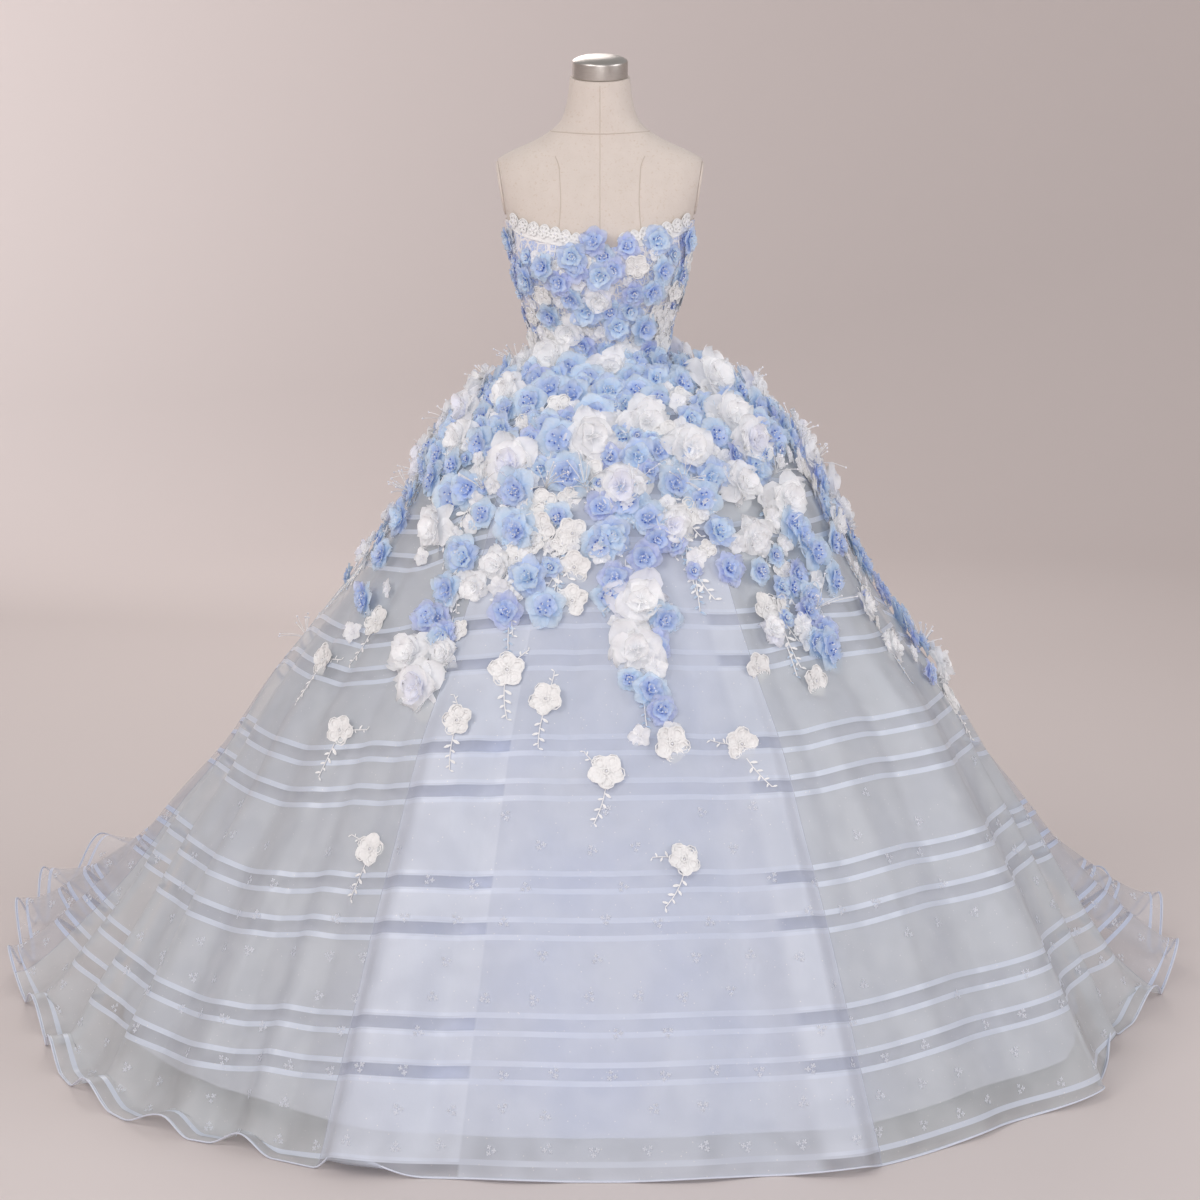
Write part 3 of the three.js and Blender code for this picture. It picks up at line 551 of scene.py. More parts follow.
def in_picture(points):
    """Where points of the gown are in the camera's picture, in pixels across and down."""
    sine, cosine = math.sin(CAMERA_PITCH), math.cos(CAMERA_PITCH)
    back, drop = points[..., 1] + CAMERA_BACK, CAMERA_Z - points[..., 2]
    depth = back * cosine + drop * sine
    across = PICTURE / 2 + PICTURE_REACH * points[..., 0] / depth
    down = PICTURE / 2 - PICTURE_REACH * (back * sine - drop * cosine) / depth
    return np.stack([across, down], axis=-1)


def nearest_seen(pixels, normals, spot):
    """The column and level of the grid point that shows nearest a spot of the picture."""
    apart = np.linalg.norm(pixels - np.array(spot), axis=-1)
    apart = np.where(normals[..., 1] < 0.25, apart, np.inf)
    return np.unravel_index(np.argmin(apart), apart.shape)


# Meshes


class Cloth:
    """Collects grids of points into one mesh, each with its colours, its place in the weave and its finish."""

    def __init__(self):
        self.points, self.faces, self.colours, self.places, self.finishes = [], [], [], [], []
        self.count = 0

    def add(self, points, colours=(1.0, 1.0, 1.0), places=None, finish=0):
        """points is a grid, or several grids of one size, as (..., rows, columns, 3) in millimetres."""
        points = np.asarray(points, float)
        rows, columns = points.shape[-3:-1]
        grids = points.reshape(-1, rows, columns, 3)
        corner = (np.arange(rows - 1)[:, None] * columns + np.arange(columns - 1)).ravel()
        quads = np.stack([corner, corner + 1, corner + columns + 1, corner + columns], axis=-1)
        first = self.count + np.arange(len(grids)) * rows * columns
        self.faces.append((first[:, None, None] + quads).reshape(-1, 4))
        self.points.append(grids.reshape(-1, 3))
        self.colours.append(np.broadcast_to(colours, points.shape).reshape(-1, 3))
        if places is None:
            shares = np.linspace(0, 1, rows), np.linspace(0, 1, columns)
            places = np.stack(np.meshgrid(*shares, indexing="ij"), axis=-1)
        self.places.append(np.broadcast_to(places, (*points.shape[:-1], 2)).reshape(-1, 2))
        self.finishes.append(np.full(len(grids) * len(quads), finish))
        self.count += grids.size // 3

    def build(self, name, finishes):
        """The mesh as an object of the part, in metres."""
        mesh = bpy.data.meshes.new(name)
        faces = np.concatenate(self.faces)
        mesh.from_pydata((np.concatenate(self.points) * MM).tolist(), [], faces.tolist())
        tone = mesh.attributes.new("tone", "FLOAT_COLOR", "POINT")
        colours = np.concatenate([np.concatenate(self.colours), np.ones((self.count, 1))], axis=1)
        tone.data.foreach_set("color", colours.ravel())
        weave = mesh.uv_layers.new(name="weave")
        weave.data.foreach_set("uv", np.concatenate(self.places)[faces.ravel()].ravel())
        for finish in finishes:
            mesh.materials.append(finish())
        mesh.polygons.foreach_set("material_index", np.concatenate(self.finishes).astype(np.int32))
        mesh.shade_smooth()
        mesh.update()
        piece = bpy.data.objects.new(name, mesh)
        bpy.context.scene.collection.objects.link(piece)
        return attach(piece, "root")


def weld(piece, distance=0.05):
    """Joins points that lie on each other, so that a seam in a closed grid doesn't show."""
    body = bmesh.new()
    body.from_mesh(piece.data)
    bmesh.ops.remove_doubles(body, verts=body.verts, dist=distance * MM)
    body.to_mesh(piece.data)
    body.free()
    piece.data.shade_smooth()
    return piece


def dress(piece, slot, *nodes):
    """Lets a piece stand for its nodes of the solid model, which it hides."""
    if nodes:
        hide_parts(*nodes)
    return piece


def cords(paths, radius, facing, sides=4, closed=False):
    """Tubes along paths given as (..., points, 3); facing is roughly across them all."""
    paths = np.asarray(paths, float)
    if closed:
        tangents = np.roll(paths, -1, axis=-2) - np.roll(paths, 1, axis=-2)
    else:
        tangents = np.gradient(paths, axis=-2)
    side = unit(np.cross(unit(tangents), facing))
    up = unit(np.cross(side, tangents))
    turn = np.linspace(0, 2 * math.pi, sides + 1)
    ring = side[..., None, :] * np.cos(turn)[:, None] + up[..., None, :] * np.sin(turn)[:, None]
    tubes = paths[..., None, :] + radius * ring
    if closed:
        tubes = np.concatenate([tubes, tubes[..., :1, :, :]], axis=-3)
    return tubes


def beads(centres, radius, rounds=5, rings=3):
    """Small round beads at points given as (..., 3)."""
    turn = np.linspace(0, 2 * math.pi, rounds + 1)
    tilt = np.linspace(0.02, math.pi - 0.02, rings + 1)[:, None]
    level = np.ones_like(turn)
    ball = np.stack([np.sin(tilt) * np.cos(turn), np.sin(tilt) * np.sin(turn), np.cos(tilt) * level], axis=-1)
    return np.asarray(centres, float)[..., None, None, :] + radius * ball


def hexed(colour):
    """A screen colour such as 0xC9CFE4 as linear red, green and blue."""
    channels = np.array([colour >> 16 & 255, colour >> 8 & 255, colour & 255]) / 255
    return tuple(np.where(channels <= 0.04045, channels / 12.92, ((channels + 0.055) / 1.055) ** 2.4))


# Finishes


def add_node(material, kind, inputs=None, **settings):
    """Adds a node with its settings, and fills its inputs with values or with other nodes' outputs."""
    tree = material.node_tree
    made = tree.nodes.new(kind)
    for name, value in settings.items():
        setattr(made, name, value)
    for name, value in (inputs or {}).items():
        if isinstance(value, bpy.types.NodeSocket):
            tree.links.new(value, made.inputs[name])
        else:
            made.inputs[name].default_value = value
    return made


def maths(material, operation, *values):
    """The result of one sum on values or outputs."""
    return add_node(material, "ShaderNodeMath", dict(enumerate(values)), operation=operation).outputs[0]


def blend(material, share, first, second, how="MIX"):
    """A mix of two colours, which may be outputs."""
    colours = [c if isinstance(c, bpy.types.NodeSocket) else (*c, 1) for c in (first, second)]
    inputs = {0: share, 6: colours[0], 7: colours[1]}
    return add_node(material, "ShaderNodeMix", inputs, data_type="RGBA", blend_type=how).outputs[2]


def ranged(material, value, low, high, first=0.0, last=1.0, how="SMOOTHSTEP"):
    """A value brought from one range to another."""
    inputs = {"Value": value, "From Min": low, "From Max": high, "To Min": first, "To Max": last}
    return add_node(material, "ShaderNodeMapRange", inputs, interpolation_type=how).outputs["Result"]


def in_space(material):
    """The place on the object, in metres."""
    return add_node(material, "ShaderNodeTexCoord").outputs["Object"]


def on_cloth(material):
    """The place in the cloth, across and along it."""
    place = add_node(material, "ShaderNodeUVMap", uv_map="weave")
    return add_node(material, "ShaderNodeSeparateXYZ", {0: place.outputs[0]}).outputs


def noise(material, size, detail=3.0, roughness=0.5, place=None):
    """Uneven noise with features of a size in millimetres."""
    inputs = {"Scale": 1 / (size * MM), "Detail": detail, "Roughness": roughness}
    inputs["Vector"] = place or in_space(material)
    return add_node(material, "ShaderNodeTexNoise", inputs).outputs["Fac"]


def threads(material, direction, pitch, wobble):
    """Parallel threads at a pitch in millimetres, as bands across a direction."""
    inputs = {"Vector": in_space(material), "Scale": 1 / (pitch * MM) * 0.314, "Distortion": wobble, "Detail": 2.0}
    made = add_node(material, "ShaderNodeTexWave", inputs, wave_type="BANDS", bands_direction=direction)
    return made.outputs["Fac"]


def finish(name, colour, roughness, bump=None, depth=0.2, **settings):
    """A material with one shader: its colour and roughness may be outputs, and bump is a height output."""
    material = bpy.data.materials.get(name)
    if material:
        return material
    material = bpy.data.materials.new(name)
    material.use_nodes = True
    shader = material.node_tree.nodes["Principled BSDF"]
    colour = colour(material) if callable(colour) else (*hexed(colour), 1)
    values = {"Base Color": colour, "Roughness": roughness(material) if callable(roughness) else roughness}
    for key, value in settings.items():
        values[key.replace("_", " ")] = value(material) if callable(value) else value
    if bump:
        inputs = {"Height": bump(material), "Distance": depth * MM, "Strength": 1.0}
        values["Normal"] = add_node(material, "ShaderNodeBump", inputs).outputs[0]
    for key, value in values.items():
        if isinstance(value, bpy.types.NodeSocket):
            material.node_tree.links.new(value, shader.inputs[key])
        else:
            shader.inputs[key].default_value = value
    return material


def linen():
    """Beige linen: a plain weave with slubs and slight mottling, dull and dry to the eye."""

    def weave(material):
        # The real pitch of 0.6 mm is lost at this distance, so the threads are drawn at 1.8 mm.
        return maths(material, "ADD", threads(material, "X", 1.8, 0.6), threads(material, "Z", 1.8, 0.6))

    def colour(material):
        mottled = blend(material, noise(material, 22), hexed(0xDDD2C8), hexed(0xE6DCD3))
        slubs = ranged(material, noise(material, 4, 4.0), 0.55, 0.75, 0.0, 0.45)
        return blend(material, slubs, mottled, hexed(0xCDB9A2))

    return finish("beige_linen", colour, 0.86, weave, 0.25, Sheen_Weight=0.15, Sheen_Roughness=0.5)


def linen_seam():
    """Stitched linen seams, a little darker where the thread pulls the cloth in."""
    return finish("linen_seam", 0xD2C6BA, 0.9, lambda m: noise(m, 2), 0.3)


def brushed_steel():
    """Turned and brushed steel: fine streaks that spread the light round the cap."""

    def streaks(material):
        place = add_node(material, "ShaderNodeMapping", {"Vector": in_space(material), "Scale": (1, 1, 30)})
        return noise(material, 12, 4.0, 0.6, place.outputs[0])

    def colour(material):
        return blend(material, streaks(material), hexed(0xB9B4AE), hexed(0xE0DCD6))

    def roughness(material):
        return ranged(material, streaks(material), 0.3, 0.7, 0.28, 0.42, "LINEAR")

    return finish("brushed_steel", colour, roughness, streaks, 0.02, Metallic=1.0)


def black_powder_coat():
    """Black powder coat on the iron base, with its fine orange peel."""
    return finish("black_powder_coat", 0x1C1C1E, 0.55, lambda m: noise(m, 1.6), 0.05)


STRIPE_PITCH = 214  # from one group of stripes to the next, up from the hem
FIRST_GROUP = 192  # height of the middle of the first whole group
PAIR_FROM_GROUP = 35.5  # from a group's middle to the middle of each of its two pairs
STRIPE_FROM_PAIR = 13.5  # from a pair's middle to each of its two stripes


def from_pair_of_stripes(material):
    """How far a point is from the middle of the nearest pair of stripes, in millimetres."""
    height = maths(material, "DIVIDE", on_cloth(material)["Y"], MM)
    shifted = maths(material, "ADD", height, 1.5 * STRIPE_PITCH - FIRST_GROUP)
    in_group = maths(material, "FLOORED_MODULO", shifted, STRIPE_PITCH)
    from_group = maths(material, "ABSOLUTE", maths(material, "SUBTRACT", in_group, STRIPE_PITCH / 2))
    return maths(material, "ABSOLUTE", maths(material, "SUBTRACT", from_group, PAIR_FROM_GROUP))


def satin_stripes(material):
    """Where the organza is woven as satin: four stripes in two pairs, again and again up from the hem."""
    half_width = bpy.context.scene.gown_settings.stripe_width / MM / 2
    past = maths(material, "SUBTRACT", from_pair_of_stripes(material), STRIPE_FROM_PAIR)
    away = maths(material, "ABSOLUTE", past)
    return ranged(material, away, half_width - 0.7, half_width + 0.7, 1.0, 0.0)


def sheer_bands(material):
    """The open net between the two stripes of each pair, through which the darker cloth under it shows."""
    return ranged(material, from_pair_of_stripes(material), STRIPE_FROM_PAIR - 3, STRIPE_FROM_PAIR, 1.0, 0.0)


def doubled_edges(material, left_starts=22.5, right_starts=14.5):
    """The edges of the front panel, folded under and lying double, from an angle outward on each side."""
    turn = maths(material, "MULTIPLY", on_cloth(material)["X"], 360.0)
    left = ranged(material, turn, left_starts - 0.9, left_starts + 0.9)
    right = ranged(material, turn, -right_starts - 0.2, -right_starts + 0.2, 1.0, 0.0)
    return maths(material, "MAXIMUM", left, right)


def organza_weave(material):
    """Crisp fine threads with slight ripples."""
    return maths(material, "ADD", noise(material, 9, 2.0), maths(material, "MULTIPLY", noise(material, 2.2), 0.5))


def glitter_and_painted_glints(material):
    """Tiny flecks of glitter caught in the net, here and there, painted pure white as glints of light."""
    inputs = {"Vector": in_space(material), "Scale": 1 / (11 * MM)}
    near = add_node(material, "ShaderNodeTexVoronoi", inputs, feature="F1").outputs["Distance"]
    return ranged(material, near, 0.05, 0.11, 1.0, 0.0)


# Shares: how far the net between two stripes opens the cloth, how much the doubled edges hide and open more, and how
# solid the satin stripes are.
NET_OPENS, FRONT_NET_OPENS, DOUBLED_NET_OPENS = 0.14, 0.05, 0.36
DOUBLED_HIDES = 0.36
SATIN, FRONT_SATIN = 0.82, 0.7


def striped_organza(name, ground, stripe, cover, doubled=False):
    """Sheer silk organza: crisp and a little shiny, clear enough to show the cloth under it, with satin stripes."""

    def colour(material):
        cloudy = blend(material, noise(material, 160, 2.0), ground, tuple(0.94 * c for c in ground))
        striped = blend(material, satin_stripes(material), cloudy, stripe)
        # painted glints: the glitter flecks are painted pure white
        return blend(material, glitter_and_painted_glints(material), striped, hexed(0xFFFFFF))

    def thickness(material):
        threadwork = ranged(material, noise(material, 60, 1.0), 0.3, 0.7, cover - 0.05, cover + 0.05)
        if doubled:
            folded = maths(material, "MULTIPLY", doubled_edges(material), (1 - cover) * DOUBLED_HIDES)
            threadwork = maths(material, "ADD", threadwork, folded)
        net = FRONT_NET_OPENS if doubled else NET_OPENS
        if doubled:
            more = maths(material, "MULTIPLY", doubled_edges(material), DOUBLED_NET_OPENS)
            net = maths(material, "ADD", net, more)
        opened = maths(material, "MULTIPLY", sheer_bands(material), net)
        netted = maths(material, "SUBTRACT", threadwork, opened)
        satin = maths(material, "MULTIPLY", satin_stripes(material), FRONT_SATIN if doubled else SATIN)
        return maths(material, "MAXIMUM", netted, satin)

    def roughness(material):
        return ranged(material, satin_stripes(material), 0.0, 1.0, 0.46, 0.3, "LINEAR")

    gloss = {"Sheen_Weight": 0.25, "Sheen_Roughness": 0.35}
    return finish(name, colour, roughness, organza_weave, 0.22, Alpha=thickness, **gloss)


def side_organza():
    """The greyer, clearer organza of the sides."""
    cover = bpy.context.scene.gown_settings.side_cover
    return striped_organza("side_organza", hexed(0xDEE4E8), hexed(0xDAE3F0), cover)


def train_organza():
    """The clearest organza, of the train, through which the floor shows."""
    cover = bpy.context.scene.gown_settings.train_cover
    return striped_organza("train_organza", hexed(0xDDDDE2), hexed(0xCDD9F0), cover)


def front_organza():
    """The denser, bluer organza of the front panel."""
    cover = bpy.context.scene.gown_settings.front_cover
    return striped_organza("front_organza", hexed(0xDCE3EF), hexed(0xDEE6F4), cover, doubled=True)


def tulle_over_satin():
    """The underskirt's soft tulle over satin, bluest at the front and silver-grey at the sides."""

    def colour(material):
        off = maths(material, "ABSOLUTE", on_cloth(material)["X"])
        sides = ranged(material, off, 0.03, 0.11)
        plain = blend(material, sides, hexed(0xBECBEE), hexed(0xC0C3D0))
        clouds = ranged(material, noise(material, 140, 3.0), 0.35, 0.7, 0.0, 0.6)
        return blend(material, clouds, plain, hexed(0xD2D7E6))

    return finish("tulle_over_satin", colour, 0.5, lambda m: noise(m, 6), 0.3, Sheen_Weight=0.3)


def organza_seam():
    """Narrow French seams: four layers of organza, a little denser than the cloth beside them."""
    return finish("organza_seam", 0xD6DBE6, 0.5, Alpha=0.45)


def horsehair_hem():
    """The stiffened, rolled hem, paler than the organza."""
    return finish("horsehair_hem", 0xDDE2EF, 0.5, lambda m: noise(m, 3), 0.2)


def bodice_satin():
    """Pale blue satin under lilac and ivory lace: cool sheen in the ground, raised matte threads over it."""

    def lace(material):
        inputs = {"Vector": in_space(material), "Scale": 1 / (17 * MM), "Randomness": 0.85}
        web = add_node(material, "ShaderNodeTexVoronoi", inputs, feature="DISTANCE_TO_EDGE").outputs["Distance"]
        cells = dict(inputs, Scale=1 / (6 * MM))
        mesh = add_node(material, "ShaderNodeTexVoronoi", cells, feature="DISTANCE_TO_EDGE").outputs["Distance"]
        heavy = ranged(material, web, 0.06, 0.13, 1.0, 0.0)
        return maths(material, "MAXIMUM", heavy, ranged(material, mesh, 0.04, 0.12, 0.7, 0.0))

    def colour(material):
        ground = blend(material, noise(material, 30), hexed(0xAFC6F0), hexed(0xD3D9F2))
        return blend(material, lace(material), ground, hexed(0xF0EEF0))

    return finish("bodice_satin", colour, 0.42, lace, 0.5, Sheen_Weight=0.2)


def let_light_through(material, colour, share):
    """Lets a share of the light through thin cloth, so that what lies in its own shade still glows softly."""
    tree = material.node_tree
    shader = tree.nodes["Principled BSDF"]
    sheer = add_node(material, "ShaderNodeBsdfTranslucent", {"Color": colour})
    both = add_node(material, "ShaderNodeMixShader", {0: share, 1: shader.outputs[0], 2: sheer.outputs[0]})
    tree.links.new(both.outputs[0], tree.nodes["Material Output"].inputs["Surface"])
    return material


PETAL_GLOW = 0.09
PETAL_LETS_THROUGH = 0.3  # share of the light that goes through a petal


def petal_organza():
    """Cut organza petals: each has its own blue, lilac or white, thinner and paler to its tip, with fine veins."""

    def veins(material):
        across = on_cloth(material)
        rays = maths(material, "SINE", maths(material, "MULTIPLY", across["Y"], 44.0))
        return maths(material, "ADD", maths(material, "MULTIPLY", rays, 0.5), noise(material, 5, 1.0))

    def colour(material):
        tone = add_node(material, "ShaderNodeAttribute", attribute_name="tone").outputs["Color"]
        worn = ranged(material, noise(material, 9, 1.0), 0.3, 0.75, 0.0, 0.22)
        return blend(material, worn, tone, hexed(0xF7F7FC))

    def thickness(material):
        return ranged(material, on_cloth(material)["X"], 0.5, 1.0, 1.0, 0.7)

    if bpy.data.materials.get("petal_organza"):
        return bpy.data.materials["petal_organza"]
    # the faint glow stands for light that passes from petal to petal more often than a render follows it
    gloss = {"Sheen_Weight": 0.3, "Sheen_Roughness": 0.4, "Specular_IOR_Level": 0.3}
    glow = {"Emission_Color": colour, "Emission_Strength": PETAL_GLOW}
    material = finish("petal_organza", colour, 0.6, veins, 0.18, Alpha=thickness, **glow, **gloss)
    material.cycles.emission_sampling = "NONE"
    material.use_transparent_shadow = False  # the thin tips are too small to tell in a shadow
    return let_light_through(material, colour(material), PETAL_LETS_THROUGH)


def ivory_guipure():
    """Ivory guipure: corded cotton thread, dull and a little warm beside the blue."""

    def colour(material):
        return blend(material, noise(material, 7, 3.0), hexed(0xEFEFEE), hexed(0xFBFBFB))

    return finish("ivory_guipure", colour, 0.75, lambda m: noise(m, 1.4), 0.3)


def pearl_bead():
    """Small pearl and crystal beads, bright and hard against the cloth."""
    return finish("pearl_bead", 0xF3F4FA, 0.12, Coat_Weight=0.6, Coat_Roughness=0.05, Specular_IOR_Level=0.7)


def pale_paper():
    """The studio's floor and wall: one sheet of warm, pale, matte paper."""
    return finish("pale_paper", 0xDED5D2, 0.9)


FLOWER_FINISHES = (petal_organza, ivory_guipure, pearl_bead)
PETAL, GUIPURE, BEAD = range(3)


# Flowers

TONES = {
    "white": (0xFAFBFE, 0xFFFFFF),
    "lilac": (0xECEEFB, 0xFBFBFF),
    "blue": (0xA2BFEF, 0xDCE8FA),
    "sky": (0xB4D2F1, 0xE6F2FC),
    "periwinkle": (0xA6B6EA, 0xDAE2F9),
    "ivory": (0xF3F1EA, 0xFDFCF9),
}

# Rings of petals of one blossom: how many, their length and width as shares of its radius, the angle at which
# they leave the cloth and the one at their tips, how far they cup, and how much their edges ruffle.
Ring = namedtuple("Ring", "count length width lift fall cup ruffle")
ROSE = [
    Ring(5, 1.06, 1.12, 16, -8, 0.18, 0.14),
    Ring(5, 0.86, 1.06, 36, 14, 0.3, 0.13),
    Ring(4, 0.67, 0.95, 58, 44, 0.46, 0.11),
    Ring(3, 0.45, 0.72, 76, 82, 0.6, 0.07),
]
BLUE_FLOWER = [
    Ring(6, 1.0, 0.98, 20, 0, 0.18, 0.1),
    Ring(5, 0.74, 0.8, 40, 20, 0.3, 0.09),
    Ring(3, 0.45, 0.6, 62, 58, 0.45, 0.06),
]
SKY_FLOWER = [Ring(5, 1.0, 1.16, 12, -4, 0.14, 0.09), Ring(5, 0.62, 0.8, 34, 14, 0.22, 0.08)]
SMALL_FLOWER = [Ring(5, 1.0, 1.0, 26, 4, 0.25, 0.06)]
ROSE_TONES = [("white",), ("white",), ("white", "white", "lilac"), ("lilac", "white")]
BUD = [Ring(4, 1.0, 0.8, 62, 78, 0.5, 0.03), Ring(3, 0.7, 0.6, 74, 86, 0.5, 0.02)]


class Place:
    """Where a flower is sewn on: its point, the way it faces, and two directions across it."""

    def __init__(self, at, normal, turn=0.0):
        self.at, self.normal = np.asarray(at, float), unit(np.asarray(normal, float))
        across = unit(np.cross((0, 0, 1), self.normal) + 1e-6)
        up = np.cross(self.normal, across)
        self.across = across * math.cos(turn) + up * math.sin(turn)
        self.up = np.cross(self.normal, self.across)

    def points(self, local):
        """Points given across, up and out of the flower, in space."""
        local = np.asarray(local, float)
        return self.at + local[..., :1] * self.across + local[..., 1:2] * self.up + local[..., 2:] * self.normal


def petal_ring(ring, radius, turn, rng, rows=5, columns=5):
    """The petals of one ring as grids in the flower's own directions."""
    share = np.sin(np.linspace(0, np.pi / 2, rows))[:, None]
    width = np.linspace(-1, 1, columns)[None, :]
    step = np.diff(share, axis=0, prepend=0) * ring.length * radius
    loose = 2.2 * ring.ruffle  # ruffled petals also differ more from one another
    each = 1 + rng.uniform(-0.5, 0.5, (ring.count, 1, 1)) * loose
    step = step * each
    tilt = np.radians(ring.lift + (ring.fall - ring.lift) * share)
    tilt = tilt + rng.uniform(-1, 1, (ring.count, 1, 1)) * loose * share
    out = np.cumsum(np.cos(tilt) * step, axis=1)
    rise = np.cumsum(np.sin(tilt) * step, axis=1)
    widens = 0.2 + 0.8 * np.sin(np.minimum(share / 0.62, 1) * np.pi / 2)
    half = ring.width * radius * 0.5 * widens * np.sqrt(1 - (np.maximum(share - 0.62, 0) / 0.4) ** 2)
    phase = rng.uniform(0, 6.28, (ring.count, 1, 1))
    ruffle = ring.ruffle * radius * share**2 * np.sin(2.6 * np.pi * width * 0.7 + phase)
    cup = ring.cup * half * width * width
    sideways = width * half
    tuck = out + 0.1 * radius * np.sin(phase) * share * width - 0.26 * half * width * width * share
    height = rise + (cup + ruffle) * np.cos(tilt) + 0.02 * radius
    angle = turn + np.arange(ring.count)[:, None, None] * 2 * math.pi / ring.count
    angle = angle + rng.uniform(-0.8, 0.8, (ring.count, 1, 1)) * loose
    return np.stack(
        [
            np.cos(angle) * tuck - np.sin(angle) * sideways,
            np.sin(angle) * tuck + np.cos(angle) * sideways,
            height,
        ],
        axis=-1,
    )


def tones_for(ring_points, tone, rng, depth=1.0):
    """Colours from root to edge, a little different on each petal."""
    root, edge = (np.array(hexed(c)) for c in TONES[tone])
    rows = ring_points.shape[-3]
    share = np.linspace(0, 1, rows)[:, None, None] ** 0.8
    colours = root * (1 - share * depth) + edge * share * depth
    shade = rng.uniform(0.9, 1.06, (ring_points.shape[0], 1, 1, 1))
    return np.clip(colours * shade, 0, 1) * np.ones((*ring_points.shape[:-1], 1))


def sew_blossom(cloth, place, rings, width, tones, rng, rows=5, columns=5):
    """Layered petals of one blossom; tones names the colour of each ring, the last one for the rest."""
    turn = rng.uniform(0, 6.28)
    for index, ring in enumerate(rings):
        local = petal_ring(ring, width / 2, turn + index * 0.7, rng, rows, columns)
        tone = tones[min(index, len(tones) - 1)]
        cloth.add(place.points(local), tones_for(local, tone, rng), finish=PETAL)


def sew_centre(cloth, place, width, rng, count=7, stalk=0.16, deep=False):
    """Short stamens with bead tips in a flower's middle, some of them deep blue where deep is true."""
    angle = np.arange(count) * 2.4 + rng.uniform(0, 6)
    reach = width * rng.uniform(0.05, 0.13, count)
    tips = np.stack([np.cos(angle) * reach, np.sin(angle) * reach, np.full(count, width * stalk)], axis=-1)
    cloth.add(beads(place.points(tips), 1.5, 5, 2), finish=BEAD)
    if deep:
        low = tips * (1.5, 1.5, 0.7)
        cloth.add(beads(place.points(low), 2.0, 4, 2), np.array(hexed(0x5F82D2)), finish=PETAL)


def sew_guipure(cloth, place, width, rng, petals=5):
    """A corded lace flower: looped petals with smaller loops inside and a ringed middle."""
    turn = np.linspace(0, 2 * math.pi, 9)[:-1]
    radius = width / 2
    angle = (np.arange(petals) * 2 * math.pi / petals + rng.uniform(0, 6))[:, None]
    loops = []
    for scale in (1.0, 0.55):
        along = radius * (0.6 + 0.4 * scale * np.cos(turn))
        across = radius * 0.4 * scale * np.sin(turn)
        x = np.cos(angle) * along - np.sin(angle) * across
        y = np.sin(angle) * along + np.cos(angle) * across
        loops.append(np.stack([x, y, 1.6 + 0.1 * radius * np.hypot(x, y) / radius * np.ones_like(x)], axis=-1))
    paths = place.points(np.concatenate(loops))
    cloth.add(cords(paths, 1.15, place.normal, 3, closed=True), finish=GUIPURE)
    net = petal_ring(Ring(petals, 1.0, 1.1, 10, 2, 0.16, 0.04), radius, float(angle[0, 0]), rng, 5, 5)
    cloth.add(place.points(net), np.array(hexed(0xEDEDEC)), finish=GUIPURE)
    inner = 0.14 * radius
    middle = np.stack([np.cos(turn) * inner, np.sin(turn) * inner, np.full(len(turn), 3.0)], axis=-1)
    cloth.add(cords(place.points(middle), 1.5, place.normal, 3, closed=True), finish=GUIPURE)
    cloth.add(beads(place.points([(0, 0, 3.4)]), 1.9), finish=BEAD)


def sew_twig(cloth, surface, around, run, length, heading, rng, leaves=6, tone="ivory"):
    """A corded lace twig with leaves to both sides, lying on the cloth; heading 0 runs down, 90 to the left."""
    steps = np.linspace(0, 1, leaves + 2)
    bend = rng.uniform(-0.5, 0.5)
    angle = math.radians(heading) + bend * steps
    down = run + np.cumsum(np.cos(angle)) * length / len(steps)
    reach = max(math.hypot(*surface(around, run)[0][:2]), 60)
    turned = around + np.degrees(np.cumsum(np.sin(angle)) * length / len(steps) / reach)
    spots = [surface(a, max(d, 2)) for a, d in zip(turned, down)]
    path = np.array([point + normal * 2.2 for point, normal in spots])
    cloth.add(cords(path, 1.0, spots[0][1], 3), finish=GUIPURE)
    for index in range(1, len(spots)):
        point, normal = spots[index]
        along = unit(path[index] - path[index - 1])
        side = np.cross(normal, along) * (1 if index % 2 else -1)
        size = length * 0.17 * rng.uniform(0.8, 1.2) * (1.15 - 0.4 * steps[index])
        place = Place(point + normal * 1.6, normal)
        place.across = unit(along * 0.6 + side)
        place.up = np.cross(normal, place.across)
        leaf = petal_ring(Ring(1, 2.0, 0.8, 12, 2, 0.2, 0.05), size / 2, 0.0, rng, 4, 3)
        cloth.add(place.points(leaf), tones_for(leaf, tone, rng), finish=GUIPURE if tone == "ivory" else PETAL)


def sew_stamens(cloth, place, length, rng, count=9):
    """A spray of fine wires with pearl tips, which stands out between the flowers."""
    angle = rng.uniform(0, 6.28, count)
    open_out = rng.uniform(0.1, 0.7, count)
    steps = np.linspace(0, 1, 5)[None, :]
    reach = open_out[:, None] * steps**1.5
    height = np.sqrt(np.maximum(0.05, 1 - (0.8 * open_out[:, None] * steps) ** 2)) * steps
    size = (length * rng.uniform(0.75, 1.1, count))[:, None]
    local = np.stack(
        [np.cos(angle)[:, None] * reach * size, np.sin(angle)[:, None] * reach * size, height * size * 0.6], axis=-1
    )
    wires = place.points(local)
    cloth.add(cords(wires, 0.7, place.across, 3), finish=GUIPURE)
    cloth.add(beads(wires[:, -1], 1.9), finish=BEAD)


